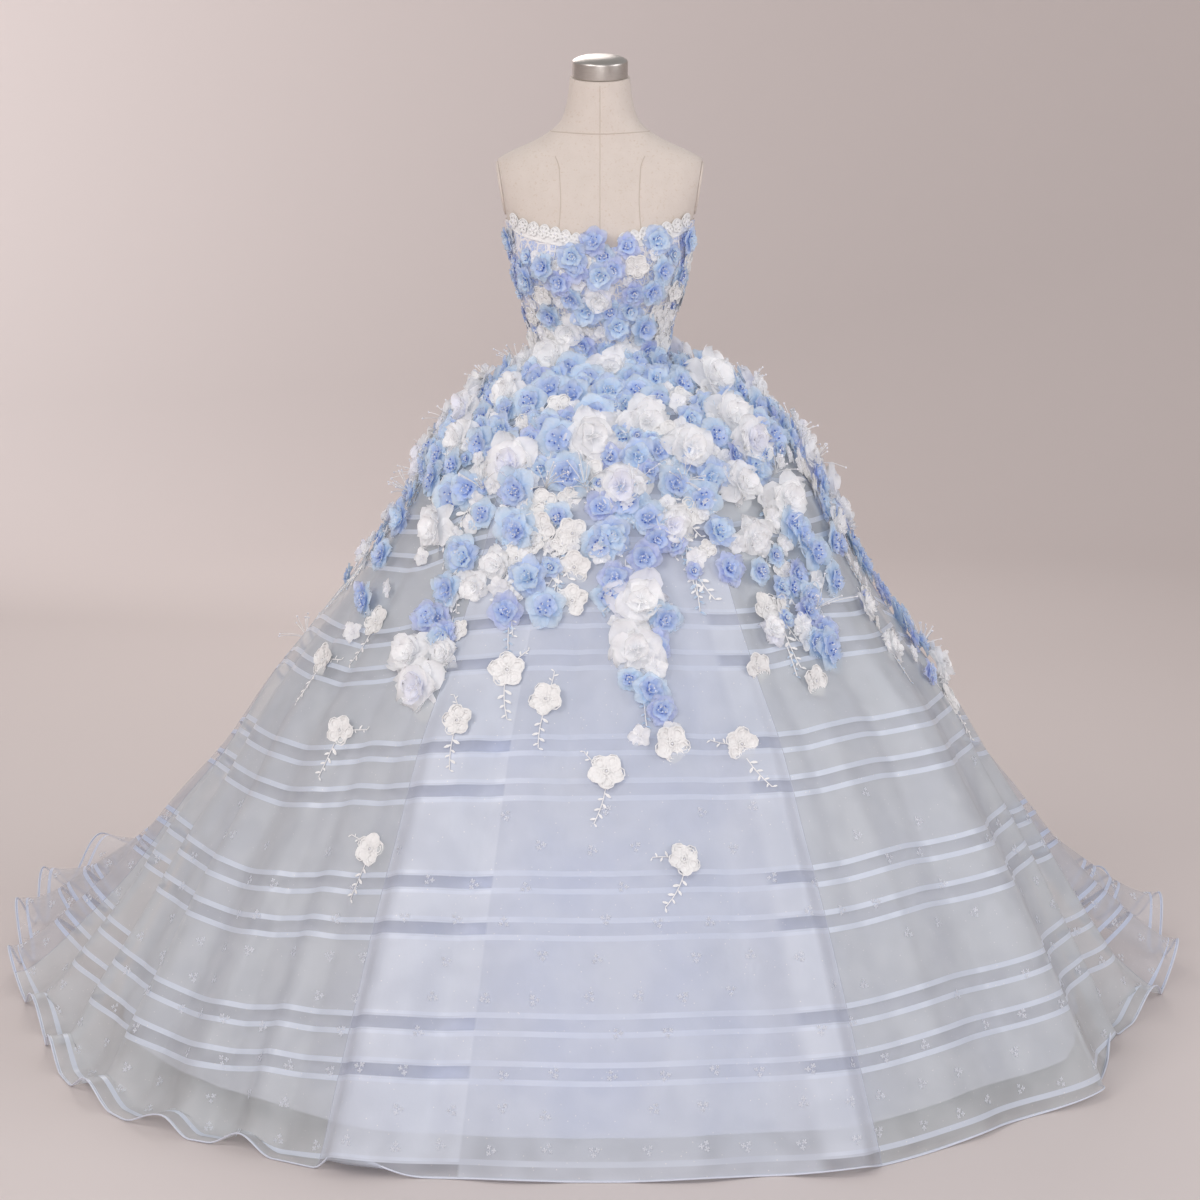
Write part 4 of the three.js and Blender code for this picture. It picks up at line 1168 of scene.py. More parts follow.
def sew_flower(cloth, kind, place, width, rng):
    """One flower of a kind, at its place."""
    if kind in ("rose", "white"):
        sew_blossom(cloth, place, ROSE, width, ROSE_TONES[rng.integers(len(ROSE_TONES))], rng)
        return
    if kind == "blue":
        tone = ("blue", "sky") if rng.random() < 0.5 else ("sky", "blue")
        sew_blossom(cloth, place, BLUE_FLOWER, width, tone, rng)
    elif kind == "sky":
        sew_blossom(cloth, place, SKY_FLOWER, width, ("sky", "blue"), rng)
    elif kind == "periwinkle":
        sew_blossom(cloth, place, BLUE_FLOWER, width, ("periwinkle", "blue"), rng)
    elif kind == "small":
        sew_blossom(cloth, place, SMALL_FLOWER, width, ("white",), rng, 4, 5)
    elif kind == "bud":
        sew_blossom(cloth, place, BUD, width, ("lilac", "white"), rng, 5, 5)
    if kind == "lace":
        sew_guipure(cloth, place, width, rng)
    else:
        blue = kind in ("blue", "sky", "periwinkle")
        sew_centre(cloth, place, width, rng, 4 if kind == "small" else 6, deep=blue)


WIDTHS = {"rose": 92, "blue": 64, "sky": 74, "periwinkle": 58, "lace": 54, "small": 36, "bud": 32, "white": 50}


# The dress form


def torso_point(around, z, out=0.0):
    """A point of the padded form, whose neck leans forward."""
    point = polar(around, form_reach(around, z) + out, z)
    point[..., 2] += NECK_TILT * point[..., 1] * smooth(z, NECK_FROM_Z, NECK_TOP_Z)
    return point


def at_arm(points, side):
    """Points given out of, along and up the arm plate, at its place on one side."""
    out, along, up = np.moveaxis(np.asarray(points, float), -1, 0)
    sine, cosine = math.sin(ARM_TILT), math.cos(ARM_TILT)
    x = side * (ARM_X + out * cosine + up * sine)
    return np.stack([x, along, ARM_Z - out * sine + up * cosine], axis=-1)


def make_torso():
    around = np.linspace(-180, 180, 145)[None, :]
    heights = np.linspace(FORM_HEIGHTS[0], FORM_HEIGHTS[-1], 110)[:, None]
    side = torso_point(around, heights * np.ones_like(around))
    ends = [side[0].mean(axis=0), side[-1].mean(axis=0)]
    rims = (side[0], side[-1])
    foot, top = (np.broadcast_to(end, rim.shape) + 0.01 * (rim - end) for end, rim in zip(ends, rims))
    cloth = Cloth()
    cloth.add(np.concatenate([foot[None], side, top[None]])[::-1])
    torso = weld(cloth.build("padded_torso", [linen]))
    body = bmesh.new()
    body.from_mesh(torso.data)
    for hand in (-1, 1):
        chest = [f for f in body.faces if all(v.co.z > 1250 * MM for v in f.verts)]
        edges = list(dict.fromkeys(e for f in chest for e in f.edges))
        corners = list(dict.fromkeys(v for f in chest for v in f.verts))
        facing = Vector((hand * math.cos(ARM_TILT), 0, -math.sin(ARM_TILT)))
        centre = Vector((hand * ARM_X, 0, ARM_Z)) * MM
        cut = bmesh.ops.bisect_plane(
            body, geom=corners + edges + chest, plane_co=centre, plane_no=facing, clear_outer=True
        )
        rim = [e for e in cut["geom_cut"] if isinstance(e, bmesh.types.BMEdge)]
        bmesh.ops.edgeloop_fill(body, edges=rim)
    body.to_mesh(torso.data)
    body.free()
    torso.data.set_sharp_from_angle(angle=math.radians(40))
    return dress(torso, "form_linen", "form_torso")


def make_torso_seams():
    """The sewn seams of the linen: middle, princess, side and neck, as low welts."""
    cloth = Cloth()
    heights = np.linspace(1300, 1606, 70)
    princess = curve_through([1300, 1400, 1460, 1486], [30, 35, 45, 55])
    for around in (0, 180, -90, 90):
        rows = heights if around in (0, 180) else heights[heights < 1380]
        path = torso_point(np.full(len(rows), around), rows, 0.1)
        cloth.add(cords(path, 0.8, polar(around, 1, 0), 5))
    rows = heights[heights < 1484]
    for hand in (-1, 1):
        path = torso_point(hand * princess(rows), rows, 0.1)
        cloth.add(cords(path, 0.8, polar(hand * 40, 1, 0), 5))
        path = torso_point(hand * (180 - princess(rows)), rows, 0.1)
        cloth.add(cords(path, 0.8, polar(hand * 140, 1, 0), 5))
    turn = np.linspace(-180, 180, 97)
    neck = torso_point(turn, 1524 + 6 * np.cos(np.radians(turn)) * -1, 0.1)
    cloth.add(cords(neck, 0.8, (0, 0, 1), 5))
    return dress(cloth.build("torso_seams", [linen_seam]), "form_linen")


def make_arm_plates():
    turn = np.linspace(0, 2 * math.pi, 65)
    profile = [(0.001, 5.3), (0.5, 5.25), (0.86, 5.0), (0.95, 4.4)]
    profile += [(0.99, 3.4), (1.0, 2.2), (1.0, SEAM), (0.001, SEAM)]
    for name, hand in (("arm_plate_left", 1), ("arm_plate_right", -1)):
        rows = [
            at_arm(
                np.stack(
                    [np.full(65, out), share * ARM_HALF_WIDTH * np.cos(turn), share * ARM_HALF_HEIGHT * np.sin(turn)],
                    axis=-1,
                ),
                hand,
            )
            for share, out in profile
        ]
        cloth = Cloth()
        cloth.add(np.array(rows) if hand > 0 else np.array(rows)[:, ::-1])
        dress(weld(cloth.build(name + "_cover", [linen])), "form_linen", name)


def lathe(profile, segments):
    """A turned surface from a profile of radius and height, with its axis upright."""
    turn = np.linspace(0, 2 * math.pi, segments + 1)
    circles = [(r * np.cos(turn), r * np.sin(turn), np.full_like(turn, z)) for r, z in profile]
    return np.array([np.stack(circle, axis=-1) for circle in circles])


def make_neck_cap():
    profile = [(0.05, 0), (45.4, 0), (46.4, 0.8), (46.5, 2), (46.5, 24.5), (46.2, 26.2), (45.4, 27.6), (44, 28.8)]
    profile += [(40, 31), (34, 33.2), (25, 34.7), (16, 35.5), (0.05, 36)]
    points = lathe(profile, 96)
    lean = math.atan(NECK_TILT)
    y = points[..., 1] * math.cos(lean) - points[..., 2] * math.sin(lean)
    z = points[..., 1] * math.sin(lean) + points[..., 2] * math.cos(lean)
    cloth = Cloth()
    cloth.add(np.stack([points[..., 0], y, z + NECK_TOP_Z + 1.3 * SEAM], axis=-1))
    cap = weld(cloth.build("turned_neck_cap", [brushed_steel]))
    cap.data.set_sharp_from_angle(angle=math.radians(50))
    return dress(cap, "steel", "neck_cap")


def finish_stand():
    """The pole and the base keep their solids, with their metal finishes."""
    for name, metal in (("form_pole", brushed_steel), ("form_base", black_powder_coat)):
        stand = frame["nodes"][name]
        stand.data.materials.clear()
        stand.data.materials.append(metal())


# The gown's cloth


def declare_sheet(piece, width, length):
    """Works out the area of a piece of cloth, held within its flat cut given in metres across and along; the result
    is not kept.
    """
    area = sum(face.area for face in piece.data.polygons)
    area = min(max(area, 0.3 * width * length), width * length)


def bodice_rise(around, z):
    """The bones and seams that show through the bodice as low ridges."""
    edges = [panel.starts for panel in BODICE_PANELS] + [-11, 11, -40, 40, -60, 60, -100, 100, -152, 152]
    rise = np.zeros(np.broadcast(around, z).shape)
    for edge in edges:
        rise += 0.7 * np.exp(-((turned_from(around, edge) / 1.3) ** 2))
    return rise + 0.35 * np.sin(z / 9 + 3 * np.sin(np.radians(around) * 4))


def make_bodice():
    steps = np.linspace(0, 1, 56)[:, None]
    for panel in BODICE_PANELS:
        around = np.linspace(panel.starts, panel.ends, int((panel.ends - panel.starts) / 1.2) + 1)[None, :]
        top = neckline_z(around) - NECKLINE_IN
        foot = WAIST_Z + CLOTH + SEAM
        heights = top + (foot - top) * steps
        face = bodice_point(around * np.ones_like(heights), heights, BODICE_CLOTH + bodice_rise(around, heights))
        wide = around * np.ones((3, 1))
        turned_in = bodice_point(wide, top - np.array([14, 1.5, -0.6])[:, None], np.array([0.1, 0.1, 1.0])[:, None])
        points = np.concatenate([turned_in, face])
        places = np.stack([np.broadcast_to(around / 360, points.shape[:-1]), points[..., 2] * MM], axis=-1)
        cloth = Cloth()
        cloth.add(points, places=places)
        piece = dress(cloth.build(panel.name + "_satin", [bodice_satin]), "bodice_cloth", panel.name)
        width = float(np.linalg.norm(np.diff(face, axis=1), axis=-1).sum(axis=1).max()) * MM
        length = float(np.ptp(points[..., 2], axis=0).max()) * MM + 0.016
        declare_sheet(piece, width, length)


LACE_FROM = 14
LACE_TO = 70
SCALLOP = 8  # degrees from one scallop to the next
LACE_OUT = BODICE_CLOTH + SEAM + 0.5


def make_neckline_lace():
    """Guipure scallops along each cup: a corded band with a loop and a small flower in each scallop."""
    for name, hand in (("neckline_lace_left", 1), ("neckline_lace_right", -1)):
        cloth = Cloth()
        around = np.arange(LACE_FROM, LACE_TO + 0.1, 0.5)
        wave = np.abs(np.sin(np.pi * (around - LACE_FROM) / SCALLOP))
        top = neckline_z(around)
        edge = top + 4 + 9 * wave**0.7
        lap = top - NECKLINE_IN - 8
        shares = np.linspace(0, 1, 6)[:, None]
        wide = hand * around * np.ones((6, 1))
        band = bodice_point(wide, edge + (lap - edge) * shares, LACE_OUT)
        cloth.add(band if hand > 0 else band[:, ::-1])
        for offset, radius in ((0, 1.1), (-3.6, 0.8)):
            line = bodice_point(hand * around, edge + offset, LACE_OUT + 0.5)
            cloth.add(cords(line, radius, polar(hand * 40, 1, 0), 5))
        cloth.add(cords(bodice_point(hand * around, lap, LACE_OUT + 0.4), 0.9, polar(hand * 40, 1, 0), 5))
        rng = np.random.default_rng(11)
        for middle in np.arange(LACE_FROM + SCALLOP / 2, LACE_TO, SCALLOP):
            z = neckline_z(middle) + 1
            place = Place(bodice_point(hand * middle, z, LACE_OUT), facing_out(hand * middle, z))
            sew_guipure(cloth, place, 21, rng, 5)
        piece = dress(cloth.build(name + "_guipure", FLOWER_FINISHES), "lace", name)
        for slot in piece.data.polygons:
            if slot.material_index == PETAL:
                slot.material_index = GUIPURE


def make_skirt():
    """The striped organza: five panels between their seams, with the folds, pleats and creases of the cloth."""
    runs = LEVELS[None, :] * SKIRT_LENGTHS[:, None]
    to_hem = (SKIRT_LENGTHS[:, None] - runs) * MM
    trims = make_skirt_trims()
    for panel in SKIRT_PANELS:
        inside = (SKIRT_COLUMNS >= panel.starts) & (SKIRT_COLUMNS <= panel.ends)
        points = SKIRT_POINTS[inside]
        across = np.broadcast_to(SKIRT_COLUMNS[inside][:, None] / 360, points.shape[:-1])
        cloth = Cloth()
        cloth.add(points[::-1], places=np.stack([across, to_hem[inside]], axis=-1)[::-1])
        plain = side_organza if "skirt" in panel.name else train_organza
        organza = front_organza if panel.name == "skirt_front" else plain
        piece = dress(cloth.build(panel.name + "_organza", [organza]), "organza", panel.name)
        width = float(np.linalg.norm(np.diff(points, axis=0), axis=-1).sum(axis=0).max()) * MM
        length = float(SKIRT_LENGTHS[inside].max()) * MM
        declare_sheet(piece, width, length)


def make_skirt_trims():
    """The rolled horsehair hem, and the narrow French seams between the panels."""
    hem = SKIRT_POINTS[:, -1] + (0, 0, 1.0)
    cloth = Cloth()
    cloth.add(cords(hem, 1.5, (0, 0, 1), 5))
    rolled = dress(cloth.build("rolled_hem", [horsehair_hem]), "organza")
    cloth = Cloth()
    for panel in SKIRT_PANELS:
        column = int((panel.starts + 180) / SKIRT_TURN)
        line = SKIRT_POINTS[column, 4:] + SKIRT_NORMALS[column, 4:] * 0.3
        cloth.add(cords(line, 0.7, polar(panel.starts, 1, 0), 4))
    return [rolled, dress(cloth.build("skirt_seams", [organza_seam]), "organza")]


UNDERSKIRT_GORES = ("underskirt_front", "underskirt_left", "underskirt_back", "underskirt_right")


def make_underskirt():
    """The underskirt: a soft bell with shallow gathers, level at its hem."""
    bell, lengths = bell_grid(train=False)
    normals = grid_normals(bell)[::2]
    columns, bell, lengths = SKIRT_COLUMNS[::2], bell[::2], lengths[::2]
    rows = np.linspace(0, 1, 48)
    points = []
    for line, facing, length, around in zip(bell, normals, lengths, columns):
        hem = np.interp(-UNDERSKIRT_HEM_Z, -line[:, 2], LEVELS)
        at = rows * hem
        place = np.stack([np.interp(at, LEVELS, line[:, axis]) for axis in range(3)], axis=-1)
        normal = unit(np.stack([np.interp(at, LEVELS, facing[:, axis]) for axis in range(3)], axis=-1))
        angle = math.radians(around)
        gathers = math.sin(38 * angle) + 0.5 * math.sin(61 * angle + 1) + 0.4 * math.sin(17 * angle + 2)
        inset = SEAM + UNDERSKIRT_IN * smooth(at * length, 0, 200)
        lift = 3.2 * gathers * smooth(at * length, 60, 700) - inset
        points.append(place + normal * lift[:, None])
    points = np.array(points)[::-1]
    across = np.broadcast_to(columns[::-1][:, None] / 360, points.shape[:-1])
    places = np.stack([across, np.broadcast_to(rows * 1.4, points.shape[:-1])], axis=-1)
    cloth = Cloth()
    cloth.add(points, places=places)
    piece = dress(cloth.build("gathered_underskirt", [tulle_over_satin]), "underskirt_cloth", *UNDERSKIRT_GORES)
    width = float(np.linalg.norm(np.diff(points, axis=0), axis=-1).sum(axis=0).max()) * MM
    length = float(np.linalg.norm(np.diff(points, axis=1), axis=-1).sum(axis=1).max()) * MM
    declare_sheet(piece, width, length)


# The sewn-on flowers


def bodice_surface(around, run):
    """The bodice's face by angle and distance down from 1345 mm."""
    z = float(np.clip(1345 - run, WAIST_Z + 4, 1375))
    return bodice_point(around, z, BODICE_CLOTH + 0.8), facing_out(around, z)


def piece_for(around, run):
    """The cluster that a flower of the skirt belongs to."""
    if run < WAIST_DEPTH:
        return min(WAIST_SECTORS, key=lambda sector: abs(turned_from(around, sector[1])))[0]
    for spray in SPRAYS:
        share = (run - spray.starts) / (spray.ends - spray.starts)
        middle = spray.around + spray.drift * share
        reach = max(math.hypot(*skirt_at(around, run)[0][:2]), 1)
        if share < 1.2 and abs(turned_from(around, middle)) * math.radians(1) * reach < 85:
            return spray.name
    return "scattered_motifs"


def picture_blooms(rng):
    """The blossoms of the skirt that show in the picture, as kind, angle, run and width."""
    pixels = in_picture(SKIRT_POINTS)
    found = []
    for kind, spots in SKIRT_BLOOMS.items():
        for spot in spots:
            i, j = nearest_seen(pixels, SKIRT_NORMALS, spot)
            width = WIDTHS[kind] * rng.uniform(0.9, 1.1)
            run = LEVELS[j] * SKIRT_LENGTHS[i]
            found.append((kind, float(SKIRT_COLUMNS[i]), float(run), width))
    return found


# The kinds sewn close round the waist: how many tries each has, and how close they come, as a share of touching.
CLOSE_KINDS = (
    ("rose", 420, 0.86),
    ("sky", 600, 0.6),
    ("blue", 1300, 0.54),
    ("periwinkle", 600, 0.58),
    ("lace", 600, 0.6),
)
SPRAY_STEP = 11  # from one try for a blossom to the next, down a spray


def fill_blooms(blooms, rng):
    """More blossoms, wherever those of the picture leave room: close round the waist, then down each spray."""
    taken = [(skirt_at(around, run)[0], width) for _, around, run, width in blooms]

    def room_for(point, width, closeness):
        return all(np.linalg.norm(point - other) > closeness * (width + size) / 2 for other, size in taken)

    def offer(kind, around, run, width, closeness):
        point = skirt_at(around, run)[0]
        if room_for(point, width, closeness):
            taken.append((point, width))
            blooms.append((kind, around, run, width))

    for kind, tries, closeness in CLOSE_KINDS:
        for _ in range(tries):
            around = rng.uniform(-180, 180)
            run = 6 + (WAIST_DEPTH - 6) * rng.uniform() ** 0.6
            if kind == "rose" and abs(around) < 42 and run > 60:
                continue
            offer(kind, around, run, WIDTHS[kind] * rng.uniform(0.72, 1.1), closeness)
    for spray in SPRAYS:
        for index in range(int((spray.ends - spray.starts) / SPRAY_STEP)):
            share = index * SPRAY_STEP / (spray.ends - spray.starts)
            run = spray.starts + index * SPRAY_STEP
            middle = spray.around + spray.drift * share
            reach = math.hypot(*skirt_at(middle, run)[0][:2])
            spread = (62 - 38 * share) * rng.uniform(-1, 1)
            around = middle + math.degrees(spread / reach)
            kind = ("blue", "small", "periwinkle", "sky", "lace", "rose")[int(rng.integers(6))]
            size = WIDTHS[kind] * (0.92 - 0.34 * share) * rng.uniform(0.85, 1.05)
            offer(kind, around, run + rng.uniform(-8, 8), size, 0.5)
    for _ in range(2200):
        around = rng.uniform(-180, 180)
        run = 6 + (WAIST_DEPTH + 40) * rng.uniform() ** 0.6
        kind = "blue" if rng.random() < 0.35 else "small"
        offer(kind, around, run, WIDTHS["small"] * rng.uniform(0.7, 1.1), 0.5)
    return blooms


def make_skirt_flowers(rng):
    """Every flower, lace motif, twig and spray of stamens on the skirt, sewn into its cluster."""
    clusters = {}

    def cluster(around, run):
        return clusters.setdefault(piece_for(around, run), Cloth())

    for _ in range(150):
        around, run = rng.uniform(-180, 180), WAIST_DEPTH * rng.uniform() ** 0.6
        tone = ("ivory", "sky", "lilac")[int(rng.integers(3))]
        length, heading = rng.uniform(60, 100), rng.uniform(-80, 80)
        sew_twig(cluster(around, run), skirt_at, around, run, length, heading, rng, 5, tone)
    for spray in SPRAYS:
        for index in range(13):
            share = index / 12
            run = spray.starts + share * (spray.ends - spray.starts - 10)
            middle = spray.around + spray.drift * share
            heading = rng.uniform(-65, 65) * (1.1 - share)
            length = rng.uniform(60, 95) * (1.1 - 0.3 * share)
            tone = "ivory" if index % 3 else "sky"
            sew_twig(clusters.setdefault(spray.name, Cloth()), skirt_at, middle, run, length, heading, rng, 6, tone)
    for kind, around, run, width in fill_blooms(picture_blooms(rng), rng):
        point, normal = skirt_at(around, run)
        lift = 1.5 if kind == "lace" else rng.uniform(2, 13) if run < WAIST_DEPTH else rng.uniform(1.5, 6)
        stands = 1.3 * max(normal[2], 0) * (1 if kind == "lace" else 1.5)
        tilted = unit(normal + polar(around, 1, 0) * stands + rng.uniform(-0.4, 0.4, 3))
        cloth = cluster(around, run)
        sew_flower(cloth, kind, Place(point + normal * lift, tilted), width, rng)
        if kind == "lace" and piece_for(around, run) == "scattered_motifs":
            sew_twig(cloth, skirt_at, around, run + width * 0.3, 66, rng.uniform(-20, 20), rng, 6)
            sew_twig(cloth, skirt_at, around, run, 48, rng.uniform(100, 260), rng, 4)
    pixels = in_picture(SKIRT_POINTS)
    spots = [nearest_seen(pixels, SKIRT_NORMALS, spot) for spot in STAMEN_SPOTS]
    spots = [(float(SKIRT_COLUMNS[i]), float(LEVELS[j] * SKIRT_LENGTHS[i])) for i, j in spots]
    spots += [(spray.around + 4, spray.starts + 60) for spray in SPRAYS]
    for around, run in spots:
        point, normal = skirt_at(around, run)
        sew_stamens(cluster(around, run), Place(point, unit(normal + (0, 0, 0.5))), 78, rng)
    for name, cloth in clusters.items():
        node = () if name == "scattered_motifs" else (name,)
        dress(cloth.build(name + "_cut", FLOWER_FINISHES), "flower_cloth", *node)


SPRIG_ROWS = np.arange(46, 560, 56)  # heights of the rows of sprigs up from the hem
SPRIG_GAP = 76  # from one sprig to the next along a row


def make_sprigs(rng):
    """Tiny embroidered sprigs in staggered rows over the lower skirt, each of three stitched flowers."""
    cloth = Cloth()
    for index, height in enumerate(SPRIG_ROWS):
        runs = np.maximum(SKIRT_LENGTHS - height, 200)
        levels = (runs / SKIRT_LENGTHS * (SKIRT_LEVELS - 1)).astype(int)
        line = SKIRT_POINTS[np.arange(len(SKIRT_COLUMNS)), levels]
        along = np.append(0, np.cumsum(np.linalg.norm(np.diff(line, axis=0), axis=-1)))
        for at in np.arange(SPRIG_GAP * (0.5 if index % 2 else 1.0), along[-1], SPRIG_GAP):
            if rng.random() < 0.55 * height / SPRIG_ROWS[-1]:
                continue
            around = float(np.interp(at + rng.uniform(-7, 7), along, SKIRT_COLUMNS))
            run = float(np.interp(around, SKIRT_COLUMNS, runs)) + rng.uniform(-6, 6)
            point, normal = skirt_at(around, run)
            for turn in np.arange(3) * 2.1 + rng.uniform(0, 6.28):
                place = Place(point + normal * 0.7, normal, turn)
                place.at = place.at + place.across * 5.2
                sprig = petal_ring(Ring(4, 1.0, 0.8, 8, 2, 0.1, 0.0), rng.uniform(3.4, 4.8), 0.0, rng, 3, 2)
                cloth.add(place.points(sprig), np.array(hexed(0xEEF1F8)), finish=PETAL)
    dress(cloth.build("embroidered_sprigs", FLOWER_FINISHES), "organza")


def make_bodice_flowers(rng):
    """The flowers, twigs, ruffles and beads of the bodice."""
    around = np.arange(-85, 86, 1.0)[:, None]
    heights = np.arange(WAIST_Z + 6, 1346, 2.0)[None, :]
    points = bodice_point(around * np.ones_like(heights), heights * np.ones_like(around), BODICE_CLOTH)
    pixels, normals = in_picture(points), facing_out(around * np.ones_like(heights), heights * np.ones_like(around))
    widths = {"white": 54, "small": 28, "blue": 54, "periwinkle": 48, "lace": 40, "sky": 60}
    cloth = Cloth()
    for _ in range(70):
        turn, run = rng.uniform(-62, 62), rng.uniform(0, 190)
        tone = ("ivory", "sky", "lilac", "blue")[int(rng.integers(4))]
        sew_twig(cloth, bodice_surface, turn, run, rng.uniform(26, 44), rng.uniform(-70, 70), rng, 5, tone)
    taken = []
    for kind, spots in BODICE_BLOOMS.items():
        for spot in spots:
            i, j = nearest_seen(pixels, normals, spot)
            width = widths[kind] * rng.uniform(0.92, 1.1)
            taken.append((points[i, j], width))
            tilted = unit(normals[i, j] + rng.uniform(-0.2, 0.2, 3))
            sew_flower(cloth, kind, Place(points[i, j] + normals[i, j] * rng.uniform(2, 7), tilted), width, rng)
    for _ in range(360):
        turn, z = rng.uniform(-66, 66), rng.uniform(WAIST_Z + 14, 1322)
        kind = ("blue", "small", "lace", "sky")[int(rng.integers(4))]
        width = widths[kind] * rng.uniform(0.62, 0.9)
        point, normal = bodice_point(turn, z, BODICE_CLOTH), facing_out(turn, z)
        if all(np.linalg.norm(point - other) > 0.56 * (width + size) / 2 for other, size in taken):
            taken.append((point, width))
            sew_flower(cloth, kind, Place(point + normal * 1.5, normal), width, rng)
    scattered = [bodice_surface(rng.uniform(-70, 70), rng.uniform(5, 205)) for _ in range(260)]
    cloth.add(beads([point + normal * 0.8 for point, normal in scattered], 1.1, 5, 3), finish=BEAD)
    dress(cloth.build("bodice_flowers_cut", FLOWER_FINISHES), "flower_cloth", "bodice_flowers")


def make_bodice_lace(rng):
    """Flat lace motifs round the sides and back of the bodice, and the corded lines over its bones."""
    cloth = Cloth()
    for turn in (-40, -33, 33, 40, -100, 100, -152, 152, -60, 60):
        heights = np.linspace(WAIST_Z + 8, float(neckline_z(turn)) - 16, 40)
        path = bodice_point(turn + 0.5 * np.sin(heights / 7), heights, BODICE_CLOTH + 1.2)
        cloth.add(cords(path, 0.9, polar(turn, 1, 0), 4), finish=GUIPURE)
    taken = []
    for _ in range(700):
        turn = rng.uniform(62, 298)
        turn = turn - 360 if turn > 180 else turn
        z = rng.uniform(WAIST_Z + 16, float(neckline_z(turn)) - 24)
        point, normal = bodice_point(turn, z, BODICE_CLOTH), facing_out(turn, z)
        kind = ("lace", "small", "blue", "periwinkle")[int(rng.integers(4))]
        width = {"lace": 34, "small": 18, "blue": 30, "periwinkle": 26}[kind] * rng.uniform(0.8, 1.1)
        if all(np.linalg.norm(point - other) > 0.66 * (width + size) / 2 for other, size in taken):
            taken.append((point, width))
            sew_flower(cloth, kind, Place(point + normal * 1.2, normal), width, rng)
    dress(cloth.build("bodice_lace_motifs", FLOWER_FINISHES), "lace")


# The studio


STUDIO_REACH = 9000  # from the gown to the wall, all round
STUDIO_BEND = 3200  # radius of the bend from the floor to the wall
STUDIO_WALL = 5200


def make_floor():
    """The floor, which bends up into a plain wall all round, open at the top."""
    bend = np.linspace(0, math.pi / 2, 20)
    profile = [(1, 0), (2000, 0), (4000, 0)]
    profile += [(STUDIO_REACH - STUDIO_BEND * (1 - math.sin(a)), STUDIO_BEND * (1 - math.cos(a))) for a in bend]
    profile += [(STUDIO_REACH, STUDIO_WALL)]
    cloth = Cloth()
    cloth.add(lathe(profile, 96)[::-1])
    floor = cloth.build("studio_paper", [pale_paper])
    floor.parent = None
    floor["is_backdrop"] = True


def add_light(name, place, aim, size, power, colour):
    """A soft area light in metres and watts, turned to its aim."""
    lamp = bpy.data.lights.new(name, "AREA")
    lamp.shape, lamp.size, lamp.energy, lamp.color = "DISK", size, power, hexed(colour)
    light = bpy.data.objects.new(name, lamp)
    light.location = place
    light.rotation_euler = (Vector(aim) - Vector(place)).to_track_quat("-Z", "Y").to_euler()
    bpy.context.scene.collection.objects.link(light)
    light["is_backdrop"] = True


def make_studio():
    scene = bpy.context.scene
    settings = scene.gown_settings
    scene.view_settings.view_transform = "Standard"
    scene.world = scene.world or bpy.data.worlds.new("studio")
    scene.world.use_nodes = True
    ground = scene.world.node_tree.nodes["Background"]
    ground.inputs["Color"].default_value = (*hexed(0xF4F1F2), 1)
    ground.inputs["Strength"].default_value = settings.fill_light
    add_light("key_light", (-3.4, -4.0, 4.4), (0, 0, 0.8), 3.2, 116 * settings.key_light, 0xFFFBFA)
    add_light("front_light", (0.3, -6.4, 2.6), (0, 0, 0.9), 4.2, 112 * settings.key_light, 0xFCFCFF)
    add_light("side_light", (4.4, -1.8, 3.0), (0, 0, 0.8), 2.8, 60 * settings.key_light, 0xF8FAFF)
    add_light("back_light", (-1.2, 4.6, 4.0), (0, 0.4, 0.6), 3.0, 70 * settings.key_light, 0xFFF7F4)
    add_light("wall_light", (-3.4, 4.6, 3.4), (-2.6, 9, 3.2), 2.6, 92 * settings.key_light, 0xFFFBFC)
    camera = bpy.data.cameras.new("photo_camera")
    camera.sensor_width = SENSOR
    camera.lens = PICTURE_REACH * SENSOR / PICTURE
    viewer = bpy.data.objects.new("photo_camera", camera)
    viewer.location = (0, -CAMERA_BACK * MM, CAMERA_Z * MM)
    viewer.rotation_euler = (math.radians(90) - CAMERA_PITCH, 0, 0)
    scene.collection.objects.link(viewer)
    scene.camera = viewer


# The add-on's settings, steps and panel


class GownSettings(bpy.types.PropertyGroup):
    """What a maker may change about the gown."""

    stripe_width: bpy.props.FloatProperty(
        name="Stripe width",
        description="Width of one satin stripe",
        default=0.009,
        unit="LENGTH",
        subtype="DISTANCE",
    )
    front_cover: bpy.props.FloatProperty(
        name="Front cover", description="How much the front organza hides", default=0.66, subtype="FACTOR"
    )
    side_cover: bpy.props.FloatProperty(
        name="Side cover", description="How much the side organza hides", default=0.55, subtype="FACTOR"
    )
    train_cover: bpy.props.FloatProperty(
        name="Train cover", description="How much the train organza hides", default=0.42, subtype="FACTOR"
    )
    flower_seed: bpy.props.IntProperty(
        name="Flower seed", description="Another number sews the filling flowers elsewhere", default=5
    )
    key_light: bpy.props.FloatProperty(name="Key light", description="Strength of the studio lights", default=1.0)
    fill_light: bpy.props.FloatProperty(
        name="Fill light", description="Strength of the light all round", default=0.42
    )


class GownStep(bpy.types.Operator):
    """One step of building the gown."""

    bl_options = {"REGISTER", "UNDO"}
    bl_idname = "gown.step"
    bl_label = "Step"

    def build(self, settings):
        """Makes this step's pieces."""
        raise NotImplementedError

    def execute(self, context):
        before = len(bpy.data.objects)
        self.build(context.scene.gown_settings)
        if len(bpy.data.objects) == before:
            raise RuntimeError(f"{self.bl_label} made nothing")
        return {"FINISHED"}


class GOWN_OT_form(GownStep):
    """Builds the padded dress form with its seams, arm plates, neck cap, pole and base"""

    bl_idname = "gown.form"
    bl_label = "Dress form"

    def build(self, settings):
        make_torso()
        make_torso_seams()
        make_arm_plates()
        make_neck_cap()
        finish_stand()


